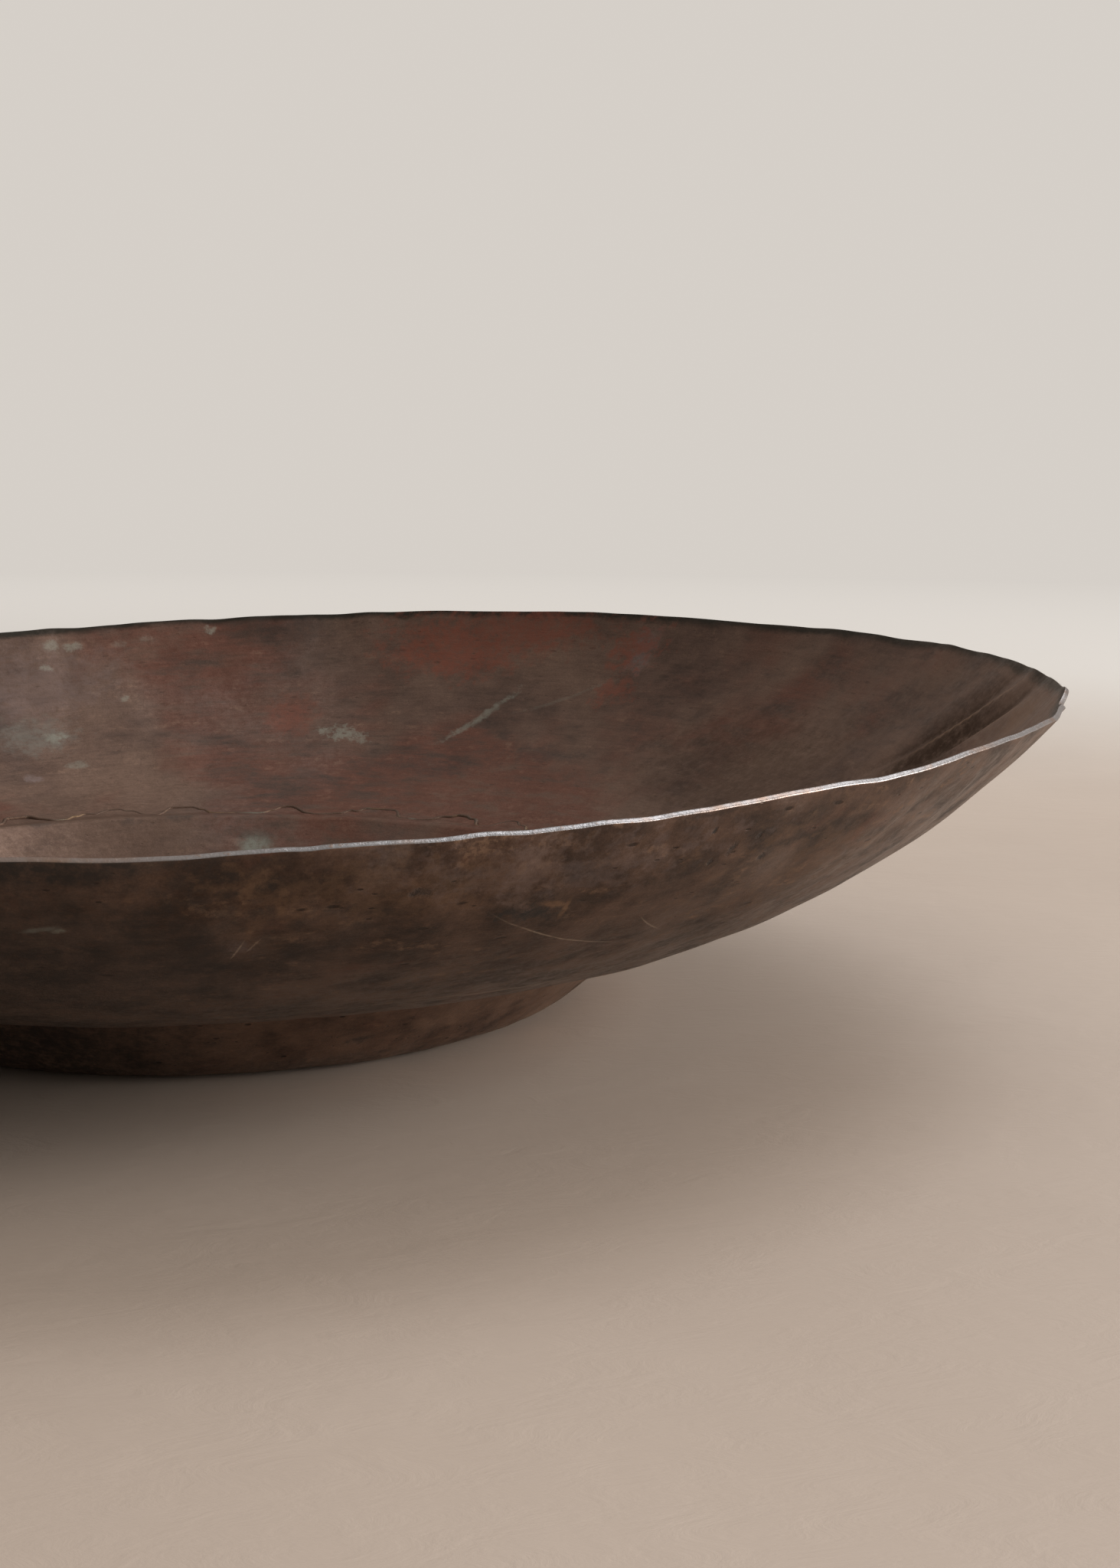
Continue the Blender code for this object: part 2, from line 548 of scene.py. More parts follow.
    def build(self, group: bpy.types.ShaderNodeTree) -> bpy.types.Material:
        """Makes the material.

        Args:
            group: The mark group.

        Returns:
            A material for the side of a sheet.
        """
        material, recipe, shader = new_finish(self.name)
        look = SkinPatterns(recipe, self.patch, self.offset)
        colour, oxide = self.layers(recipe, look)
        if self.rim_darkening:
            lip_black, lip_start, lip_end = (0.012, 0.014, 0.011), 0.998, 1.016
            ragged = recipe.math("MULTIPLY_ADD", look.streak, 0.04, look.along)
            lip = recipe.step(ragged, lip_start, lip_end, self.rim_darkening)
            colour = recipe.blend(lip, colour, lip_black)

        rough = recipe.shift(recipe.step(look.grain, 0.30, 0.72), *self.gloss)
        rough = recipe.math("MULTIPLY_ADD", oxide, 0.08, rough)
        metallic = recipe.math("MULTIPLY_ADD", oxide, -0.35 * self.metal, self.metal)
        height = recipe.math("MULTIPLY", look.grain, 0.10)
        for noise, rise in ((look.cloud, 0.20), (look.streak, 0.14), (look.fine, 0.015),
                            (look.brushed, 0.05)):
            height = recipe.math("MULTIPLY_ADD", noise, rise, height)
        # The marks lay their stains and scratches, and also patches of painted shade and painted
        # highlight, over the patina.
        for kind, cover in self.covers(recipe, group, look.place).items():
            tone, metal, dull, rise = kind.value
            worn = recipe.math("MULTIPLY", cover, recipe.step(look.grain, 0.20, 0.60))
            colour = recipe.blend(worn, colour, tone)
            metallic = recipe.shift(worn, metallic, metal)
            rough = recipe.shift(worn, rough, dull)
            if rise:
                height = recipe.math("MULTIPLY_ADD", worn, rise, height)

        speck_edge, speck_middle, speck_depth = 0.30, 0.14, 0.16
        for density, bare_share in ((150.0, 0.93), (320.0, 0.95)):
            dots = recipe.cells(look.turning, density)
            chosen = recipe.parts(dots.outputs["Color"])
            inside = recipe.step(dots.outputs["Distance"], speck_edge, speck_middle)
            there = recipe.step(chosen["X"], bare_share, bare_share + 0.02)
            small = recipe.math("MULTIPLY", inside, there)
            colour = recipe.blend(recipe.math("MULTIPLY", small, self.specks), colour, self.shade)
            height = recipe.math("MULTIPLY_ADD", small, -speck_depth * self.specks, height)

        recipe.feed(shader.inputs["Specular Tint"], self.glance)
        recipe.feed(shader.inputs["Base Color"], colour)
        recipe.feed(shader.inputs["Metallic"], metallic)
        recipe.feed(shader.inputs["Roughness"], rough)
        recipe.bump(shader, height, MM)
        return material


@dataclass(frozen=True)
class CutEdge:
    """The rim's cut edge: worn bright copper, with a painted reflection that keeps it bright on its +X
    side and painted shade that dulls its -X side.

    Attributes:
        name: The finish's name.
        bright: The bright copper, near grey rather than copper red, as a painted reflection of the lamps.
        rosy: The bright copper at the +X end.
        dull: The copper on the rim's -X side, where it is dulled as painted shade, between its worn
            stretches, and in its nicks.
        glance: The tint of what it reflects at a low angle.
    """

    name: str = "rim cut edge"
    # The bright and rosy tones are near grey, not copper red: a painted reflection of the lamps on the
    # rim.
    bright: Colour = (0.250, 0.245, 0.251)
    rosy: Colour = (0.242, 0.232, 0.231)
    dull: Colour = (0.240, 0.160, 0.118)
    glance: Colour = (0.60, 0.54, 0.51)

    def build(self) -> bpy.types.Material:
        """Makes the material.

        Returns:
            A material for the cut edge.
        """
        # Painted light: the worn copper is kept bright towards +X, where the lamps' reflection falls, and
        # dull towards -X as painted shade.
        painted_light_from, painted_light_to = -0.09, 0.04
        rosy_from, rosy_to = 0.10, 0.21
        material, recipe, shader = new_finish(self.name)
        place = recipe.add("ShaderNodeTexCoord").outputs["Object"]
        worn = recipe.noise(place, 34, 4, 0.65)
        nick = recipe.noise(place, 420, 3, 0.7)
        east = recipe.parts(place)["X"]
        painted_light_share = recipe.math("MULTIPLY_ADD", recipe.step(east, painted_light_from, painted_light_to), 0.85, 0.15)
        worn = recipe.math("MULTIPLY", recipe.step(worn, 0.31, 0.50), painted_light_share)
        clean = recipe.blend(recipe.step(east, rosy_from, rosy_to), self.bright, self.rosy)
        colour = recipe.blend(worn, self.dull, clean)
        colour = recipe.blend(recipe.step(nick, 0.58, 0.74, 0.7), colour, self.dull)
        recipe.feed(shader.inputs["Base Color"], colour)
        recipe.feed(shader.inputs["Roughness"], recipe.shift(nick, 0.26, 0.52))
        shader.inputs["Metallic"].default_value = 0.95
        recipe.feed(shader.inputs["Specular Tint"], self.glance)
        recipe.bump(shader, nick, 0.25 * MM)
        return material


@dataclass(frozen=True)
class TarnishedBrass:
    """The brass hard solder of the seam, dull and partly green.

    Attributes:
        name: The finish's name.
        brass: The brass where it is still bare.
        brown: Its brown tarnish.
        green: Its green tarnish.
    """

    name: str = "tarnished brass"
    brass: Colour = (0.190, 0.120, 0.065)
    brown: Colour = (0.085, 0.050, 0.034)
    green: Colour = (0.105, 0.110, 0.080)

    def build(self) -> bpy.types.Material:
        """Makes the material.

        Returns:
            A material for the bead.
        """
        material, recipe, shader = new_finish(self.name)
        place = recipe.add("ShaderNodeTexCoord").outputs["Object"]
        cloud = recipe.noise(place, 60, 4, 0.6)
        grain = recipe.noise(place, 620, 3, 0.7)
        tarnish = recipe.step(recipe.noise(place, 33, 3, 0.6, 0.5), 0.52, 0.70)
        colour = recipe.blend(recipe.step(cloud, 0.52, 0.74), self.brown, self.brass)
        colour = recipe.blend(tarnish, colour, self.green)
        recipe.feed(shader.inputs["Base Color"], colour)
        recipe.feed(shader.inputs["Metallic"], recipe.shift(tarnish, 0.85, 0.10))
        recipe.feed(shader.inputs["Roughness"], recipe.shift(grain, 0.34, 0.70))
        recipe.bump(shader, grain, 0.15 * MM)
        return material


# ---------------------------------------------------------------------------------------------
# The form that the pieces share
# ---------------------------------------------------------------------------------------------

@dataclass(frozen=True)
class Wave:
    """One cosine wave round the rim.

    Attributes:
        crests: How many crests it has.
        size: Its height.
        crest_at: The phase of its first crest, in degrees.
    """

    crests: int
    size: float
    crest_at: float = 0.0


@dataclass(frozen=True)
class BowlForm:
    """The bowl's section and the sway of its rim, as the sheets were raised.

    Attributes:
        rim_radius: From the axis to the mean rim.
        sheet: Thickness of the copper.
        edge: Thickness of the scarfed edges at the lap.
        floor_radius: Radius of the flat that it stands on.
        corner_radius: Radius of the corner between the flat and the band.
        band_slope: Slope of the band above the corner.
        bend_radius: From the axis to the bend where the band meets the wall.
        collar: How far the wall turns down over the band.
        lap: Width of the pan's flange under the wall.
        flange_start: Where the flange starts, measured outwards from the crease.
        flange_steps: Steps across the flange.
        crease_step: From the crease to the section's points beside it.
        fit_gap: Clearance between the two sheets.
        wall_start: The wall's slope at the bend.
        wall_steady: How much it grows evenly up to the rim.
        wall_upturn: How much it grows in the last stretch.
        rises: Waves of the rim's height.
        spreads: Waves of the rim's radius.
        rise_power: How the height waves grow from the bend to the rim.
        spread_power: How the radius waves grow from the bend to the rim.
    """

    rim_radius: float = 0.280
    sheet: float = 0.0018
    edge: float = 0.0010
    floor_radius: float = 0.1126
    corner_radius: float = 0.031
    band_slope: float = radians(42)
    bend_radius: float = 0.1573
    collar: float = 0.0035
    lap: float = 0.012
    flange_start: float = 0.001
    flange_steps: int = 8
    crease_step: float = 0.0009
    fit_gap: float = 0.0003
    wall_start: float = 0.14
    wall_steady: float = 0.76
    wall_upturn: float = 0.45
    rises: tuple[Wave, ...] = (Wave(1, 0.0080, 11), Wave(2, 0.0030, 64), Wave(3, 0.0016, -122))
    spreads: tuple[Wave, ...] = (Wave(2, 0.0029, 0), Wave(3, 0.0023, -45))
    rise_power: float = 1.2
    spread_power: float = 6.0

    def bend(self) -> Vector:
        """The section's point where the band meets the wall."""
        band_foot = self.floor_radius + self.corner_radius * sin(self.band_slope)
        corner_top = self.corner_radius * (1 - cos(self.band_slope))
        climb = (self.bend_radius - band_foot) * tan(self.band_slope)
        return Vector((self.bend_radius, corner_top + climb))

    def crease(self) -> Vector:
        """The outer point where the wall's sheet turns down over the band."""
        wall_slope = atan(self.wall_start)
        lean = (self.band_slope + wall_slope) / 2
        depth = (self.sheet + self.fit_gap) / cos((self.band_slope - wall_slope) / 2)
        return self.bend() + depth * Vector((sin(lean), -cos(lean)))

    def wall_point(self, share: float) -> Vector:
        """A point of the wall's outer line.

        Args:
            share: 0 at the crease and 1 at the rim.

        Returns:
            Radius and height.
        """
        corner = self.crease()
        run = self.rim_radius - corner.x
        steady, upturn = self.wall_steady * share**2 / 2, self.wall_upturn * share**8 / 8
        return corner + run * Vector((share, self.wall_start * share + steady + upturn))

    def wall_share(self, width: float) -> float:
        """A width measured outwards from the crease, as a share of the wall."""
        return width / (self.rim_radius - self.crease().x)

    def wall_line(self, steps: int = 50) -> list[Vector]:
        """The wall's outer line from the collar's end to the rim.

        Args:
            steps: How many steps the wall has.

        Returns:
            The line's points, close together at the crease.
        """
        down = Vector((cos(self.band_slope), sin(self.band_slope)))
        collar = [self.crease() - down * length for length in (self.collar, self.crease_step)]
        near = self.wall_point(self.wall_share(self.crease_step))
        wall = [self.wall_point(step / steps) for step in range(1, steps + 1)]
        return [*collar, self.crease(), near, *wall]

    def flange_line(self, start: float, end: float, steps: int) -> list[Vector]:
        """The outer line of the pan's flange, which lies on the wall's inner side.

        Args:
            start: Where it starts, measured outwards from the crease.
            end: Where it ends.
            steps: How many steps it has.

        Returns:
            The line's points.
        """
        shares = [self.wall_share(start + (end - start) * step / steps) for step in range(-1, steps + 2)]
        line = [self.wall_point(share) for share in shares]
        return inward(line, self.sheet + self.fit_gap)[1:-1]

    def pan_line(self) -> list[Vector]:
        """The pan's outer line from the axis to the edge of its flange.

        Returns:
            The line's points, close together at the bend.
        """
        floor_steps, corner_steps = 20, 8
        floor = [Vector((self.floor_radius * step / floor_steps, 0.0)) for step in range(floor_steps)]
        turns = [self.band_slope * step / corner_steps for step in range(corner_steps + 1)]
        corner = [Vector((self.floor_radius + self.corner_radius * sin(turn),
                          self.corner_radius * (1 - cos(turn)))) for turn in turns]
        band = [corner[-1].lerp(self.bend(), share) for share in (0.2, 0.4, 0.6, 0.8, 0.97)]
        flange = self.flange_line(self.flange_start, self.lap, self.flange_steps)
        return [*floor, *corner, *band, self.bend(), *flange]


def inward(line: list[Vector], depth: float) -> list[Vector]:
    """A section line moved towards the inside of the bowl.

    Args:
        line: Points of radius and height.
        depth: How far it moves, measured square to each step.

    Returns:
        The moved line.
    """
    steps = [(after - before).normalized() for before, after in zip(line, line[1:])]
    square = [Vector((-step.y, step.x)) for step in steps]
    moved = []
    for place, before, after in zip(line, [square[0], *square], [*square, square[-1]]):
        middle = (before + after).normalized()
        moved.append(place + middle * depth / middle.dot(before))
    return moved


def line_object(name: str, line: list[Vector]) -> bpy.types.Object:
    """An object that holds a section line as a chain of edges in the XZ plane.

    Args:
        name: The object's name.
        line: Points of radius and height.

    Returns:
        The object, linked to the scene.
    """
    mesh = bpy.data.meshes.new(name)
    mesh.from_pydata([(place.x, 0.0, place.y) for place in line],
                     [(step, step + 1) for step in range(len(line) - 1)], [])
    return in_scene(name, mesh)


# ---------------------------------------------------------------------------------------------
# Geometry Nodes
# ---------------------------------------------------------------------------------------------

class Tree:
    """A Geometry Nodes tree with named inputs, run once on an object."""

    def __init__(self, name: str, inputs: dict[str, str]) -> None:
        """Starts a tree.

        Args:
            name: The tree's name.
            inputs: The kind of each named input: Float, Int, Vector or Material.
        """
        self.tree = bpy.data.node_groups.new(name, "GeometryNodeTree")
        face = self.tree.interface
        face.new_socket(name="Geometry", in_out="INPUT", socket_type="NodeSocketGeometry")
        for label, kind in inputs.items():
            face.new_socket(name=label, in_out="INPUT", socket_type=f"NodeSocket{kind}")
        face.new_socket(name="Geometry", in_out="OUTPUT", socket_type="NodeSocketGeometry")
        self.recipe = Recipe(self.tree)
        self.given = self.recipe.add("NodeGroupInput").outputs

    def move(self, shape: Socket, offset: Socket | None = None, to: Socket | None = None) -> Socket:
        """Moves a shape's points by an offset or to a place."""
        return self.recipe.add("GeometryNodeSetPosition", {"Geometry": shape, "Offset": offset,
                                                           "Position": to}).outputs[0]

    def end(self, shape: Socket, material: Socket) -> None:
        """Ends the tree in smooth faces, Realize Instances and Set Material.

        Args:
            shape: The geometry so far.
            material: The material input.
        """
        smooth = self.recipe.add("GeometryNodeSetShadeSmooth", {0: shape}).outputs[0]
        real = self.recipe.add("GeometryNodeRealizeInstances", {0: smooth}).outputs[0]
        dressed = self.recipe.add("GeometryNodeSetMaterial", {"Geometry": real, "Material": material})
        self.recipe.add("NodeGroupOutput", {"Geometry": dressed.outputs[0]})

    def run(self, start: bpy.types.Object, name: str,
            values: dict[str, float | bpy.types.Material]) -> bpy.types.Object:
        """Runs the tree on an object and keeps the result as a plain mesh.

        Args:
            start: The object that gives the tree its geometry. It is removed.
            name: The new object's name.
            values: A value for each named input.

        Returns:
            The new object, without modifiers.
        """
        modifier = start.modifiers.new(self.tree.name, "NODES")
        modifier.node_group = self.tree
        for item in self.tree.interface.items_tree:
            if item.in_out == "INPUT" and item.name in values:
                modifier[item.identifier] = values[item.name]
        start.update_tag()
        graph = bpy.context.evaluated_depsgraph_get()
        mesh = bpy.data.meshes.new_from_object(start.evaluated_get(graph), depsgraph=graph)
        mesh.name = name
        start.modifiers.clear()
        bpy.data.objects.remove(start)
        return in_scene(name, mesh)


def polar(recipe: Recipe, angle: Socket, radius: Feed, height: Feed) -> Socket:
    """A point from its angle, radius and height.

    Args:
        recipe: The tree's recipe.
        angle: Angle round from +X.
        radius: Distance from the axis.
        height: Height above the floor.

    Returns:
        The point's vector.
    """
    east = recipe.math("MULTIPLY", radius, recipe.math("COSINE", angle))
    north = recipe.math("MULTIPLY", radius, recipe.math("SINE", angle))
    return recipe.joined(east, north, height)


def swayed(recipe: Recipe, form: BowlForm, angle: Socket, radius: Socket, height: Socket) -> Socket:
    """A point of the section turned to its angle and moved by the rim's sway.

    Args:
        recipe: The tree's recipe.
        form: The bowl's form.
        angle: Angle round from +X.
        radius: The point's radius in the section.
        height: The point's height in the section.

    Returns:
        The point's vector.
    """
    out = recipe.math("SUBTRACT", radius, form.bend_radius)
    climb = recipe.math("MAXIMUM", recipe.math("DIVIDE", out, form.rim_radius - form.bend_radius), 0.0)
    moves = []
    for waves, power in ((form.rises, form.rise_power), (form.spreads, form.spread_power)):
        grown = recipe.math("POWER", climb, power)
        total = recipe.math("MULTIPLY", angle, 0.0)
        for wave in waves:
            phase = recipe.math("MULTIPLY_ADD", angle, float(wave.crests), -radians(wave.crest_at))
            total = recipe.math("MULTIPLY_ADD", recipe.math("COSINE", phase), wave.size, total)
        moves.append(recipe.math("MULTIPLY", grown, total))
    rise, spread = moves
    return polar(recipe, angle, recipe.math("ADD", radius, spread), recipe.math("ADD", height, rise))


def on_line(recipe: Recipe, line: Socket, step: Socket) -> bpy.types.bpy_prop_collection:
    """A place on a section line, between two of its points.

    Args:
        recipe: The tree's recipe.
        line: The line's mesh, whose points follow each other.
        step: Which point, counted from 0, with the fraction towards the next.

    Returns:
        The place's X, Y and Z sockets.
    """
    position = recipe.position()
    ends = []
    for rounding in ("FLOOR", "CEIL"):
        point = recipe.add("GeometryNodeSampleIndex", {"Geometry": line}, data_type="FLOAT_VECTOR",
                           domain="POINT", clamp=True)
        value = next(socket for socket in point.inputs if socket.name == "Value" and socket.enabled)
        recipe.feed(value, position)
        recipe.feed(point.inputs["Index"], recipe.math(rounding, step))
        ends.append(next(socket for socket in point.outputs if socket.enabled))
    return recipe.parts(recipe.mixed("VECTOR", recipe.math("FRACT", step), *ends))


def tooth_wave(recipe: Recipe, angle: Socket, teeth: Socket) -> Socket:
    """How far the flange is cut back at an angle: 0 on a tooth's end, 1 in a gap.

    Args:
        recipe: The tree's recipe.
        angle: Angle round from +X.
        teeth: How many teeth there are.

    Returns:
        The cut from 0 to 1, uneven as hand-cut teeth are.
    """
    stray_waves, stray_size = 5.5, 9.0
    tip_end, gap_start = 0.15, 0.85
    ring = polar(recipe, angle, 1.0, 0.0)
    stray = recipe.math("MULTIPLY_ADD", recipe.noise(ring, stray_waves, 3), stray_size, -stray_size / 2)
    counted = recipe.math("ADD", recipe.math("MULTIPLY", angle, teeth), stray)
    saw = recipe.math("FRACT", recipe.math("DIVIDE", counted, 2 * pi))
    edge = recipe.math("ABSOLUTE", recipe.math("MULTIPLY_ADD", saw, 2.0, -1.0))
    return recipe.step(edge, tip_end, gap_start)


def raised_sheet(form: BowlForm) -> Tree:
    """The tree that turns a section line into a hammered sheet.

    Its inputs are the turn and line steps, the size and depth of the planishing marks and of the
    longer swells, the seed, the flange's teeth with where they start and how deep they are cut as
    shares of the line, the radius round which no marks lie and how far that reaches, and the
    material.

    Args:
        form: The bowl's form.

    Returns:
        The tree.
    """
    doubles = 1e-6
    mark_evenness, mark_softness = 0.85, 0.35
    dish_slope, dish_floor = 1.6, -0.6
    least_blow = 0.25
    tree = Tree("raised sheet", {
        "Turn Steps": "Int", "Line Steps": "Int", "Mark Size": "Float", "Mark Depth": "Float",
        "Swell Size": "Float", "Swell Depth": "Float", "Seed": "Float", "Teeth": "Float",
        "Edge Start": "Float", "Tooth Depth": "Float", "Calm Radius": "Float", "Calm Width": "Float",
        "Material": "Material"})
    recipe, given = tree.recipe, tree.given
    grid = recipe.add("GeometryNodeMeshGrid", {
        "Size X": 1.0, "Size Y": 1.0,
        "Vertices X": recipe.math("ADD", given["Turn Steps"], 1.0),
        "Vertices Y": recipe.math("ADD", given["Line Steps"], 1.0)}).outputs["Mesh"]
    place = recipe.parts(recipe.position())
    angle = recipe.math("MULTIPLY", place["X"], 2 * pi)
    along = recipe.math("ADD", place["Y"], 0.5)
    around = recipe.math("ADD", place["X"], 0.5)
    mapped = recipe.add("GeometryNodeStoreNamedAttribute", {
        "Geometry": grid, "Name": "UVMap", "Value": recipe.joined(along, around)},
        data_type="FLOAT2", domain="CORNER").outputs[0]

    past = recipe.math("MAXIMUM", recipe.math("SUBTRACT", along, given["Edge Start"]), 0.0)
    flange = recipe.math("SUBTRACT", 1.0, given["Edge Start"])
    into = recipe.math("DIVIDE", past, recipe.math("MAXIMUM", flange, 0.001))
    depth = recipe.math("MULTIPLY", tooth_wave(recipe, angle, given["Teeth"]), given["Tooth Depth"])
    kept = recipe.math("SUBTRACT", along, recipe.math("MULTIPLY", into, depth))
    section = on_line(recipe, given["Geometry"], recipe.math("MULTIPLY", kept, given["Line Steps"]))
    turned = tree.move(mapped, to=swayed(recipe, form, angle, section["X"], section["Z"]))
    closed = recipe.add("GeometryNodeMergeByDistance", {
        "Geometry": turned, "Distance": doubles}).outputs[0]

    plan = recipe.vector("MULTIPLY", recipe.position(), (1.0, 1.0, 0.0))
    reach = recipe.vector("LENGTH", plan)
    seeded = recipe.vector("ADD", plan, recipe.joined(z=given["Seed"]))
    from_bend = recipe.math("ABSOLUTE", recipe.math("SUBTRACT", reach, given["Calm Radius"]))
    calm = recipe.step(recipe.math("DIVIDE", from_bend, given["Calm Width"]), 1.0, 2.0)
    density = recipe.math("DIVIDE", 1.0, given["Mark Size"])
    marks = recipe.cells(seeded, density, "SMOOTH_F1", mark_evenness)
    marks.inputs["Smoothness"].default_value = mark_softness
    dish = recipe.math("MULTIPLY_ADD", marks.outputs["Distance"], dish_slope, dish_floor)
    strength = recipe.step(recipe.noise(seeded, 14, 2), 0.30, 0.70)
    swing = recipe.math("MULTIPLY_ADD", strength, 1 - least_blow, least_blow)
    hard = recipe.math("MULTIPLY", swing, calm)
    blow = recipe.math("MULTIPLY", recipe.math("MULTIPLY", dish, given["Mark Depth"]), hard)
    swell = recipe.noise(seeded, recipe.math("DIVIDE", 1.0, given["Swell Size"]), 3.0, 0.5)
    push = recipe.math("MULTIPLY_ADD", recipe.math("SUBTRACT", swell, 0.5), given["Swell Depth"], blow)
    normal = recipe.add("GeometryNodeInputNormal").outputs[0]
    hammered = tree.move(closed, offset=recipe.vector("SCALE", normal, scale=push))
    tree.end(hammered, given["Material"])
    return tree


def solder_bead(form: BowlForm) -> Tree:
    """The tree that runs a lumpy bead along the flange's toothed edge.

    Its input geometry is the line that the flange's edge moves along, from its gaps to its teeth.

    Args:
        form: The bowl's form.

    Returns:
        The tree.
    """
    lump_waves = 90
    tree = Tree("solder bead", {
        "Turn Steps": "Int", "Line Steps": "Int", "Round Steps": "Int", "Thickness": "Float",
        "Unevenness": "Float", "Teeth": "Float", "Material": "Material"})
    recipe, given = tree.recipe, tree.given
    circles = [recipe.add("GeometryNodeCurvePrimitiveCircle", {"Resolution": given[steps], "Radius": 1.0},
                          mode="RADIUS").outputs[0] for steps in ("Turn Steps", "Round Steps")]
    place = recipe.parts(recipe.position())
    angle = recipe.math("ARCTAN2", place["Y"], place["X"])
    kept = recipe.math("SUBTRACT", 1.0, tooth_wave(recipe, angle, given["Teeth"]))
    section = on_line(recipe, given["Geometry"], recipe.math("MULTIPLY", kept, given["Line Steps"]))
    laid = tree.move(circles[0], to=swayed(recipe, form, angle, section["X"], section["Z"]))
    lumps = recipe.math("MULTIPLY_ADD", recipe.noise(recipe.position(), lump_waves, 3), 2.0, -1.0)
    size = recipe.math("MULTIPLY", given["Thickness"],
                       recipe.math("MULTIPLY_ADD", lumps, given["Unevenness"], 1.0))
    swept = recipe.add("GeometryNodeCurveToMesh", {"Curve": laid, "Profile Curve": circles[1],
                                                   "Scale": size})
    tree.end(swept.outputs[0], given["Material"])
    return tree


# ---------------------------------------------------------------------------------------------
# What hand work and use did to the wall
# ---------------------------------------------------------------------------------------------

@dataclass(frozen=True)
class Kink:
    """A small bend of the rim.

    Attributes:
        angle: Where it is, in degrees.
        width: How wide it is along the rim, in mm.
        lift: How far the rim goes up, in mm. Less than 0 is a dip.
        pull: How far it goes outwards, in mm.
        reach: How far down the wall it fades out, in mm.
    """

    angle: float
    width: float
    lift: float
    pull: float = 0.0
    reach: float = 12.0


@dataclass(frozen=True)
class Flute:
    """A shallow fold that runs down the wall from the rim.

    Attributes:
        angle: Where it meets the rim, in degrees.
        width: How wide it is at the rim, in mm.
        depth: How far it is pushed in, in mm. Less than 0 stands out.
        reach: How far down the wall it fades out, in mm.
        lean: How many degrees it has turned when it fades out.
    """

    angle: float
    width: float
    depth: float
    reach: float
    lean: float = 0.0


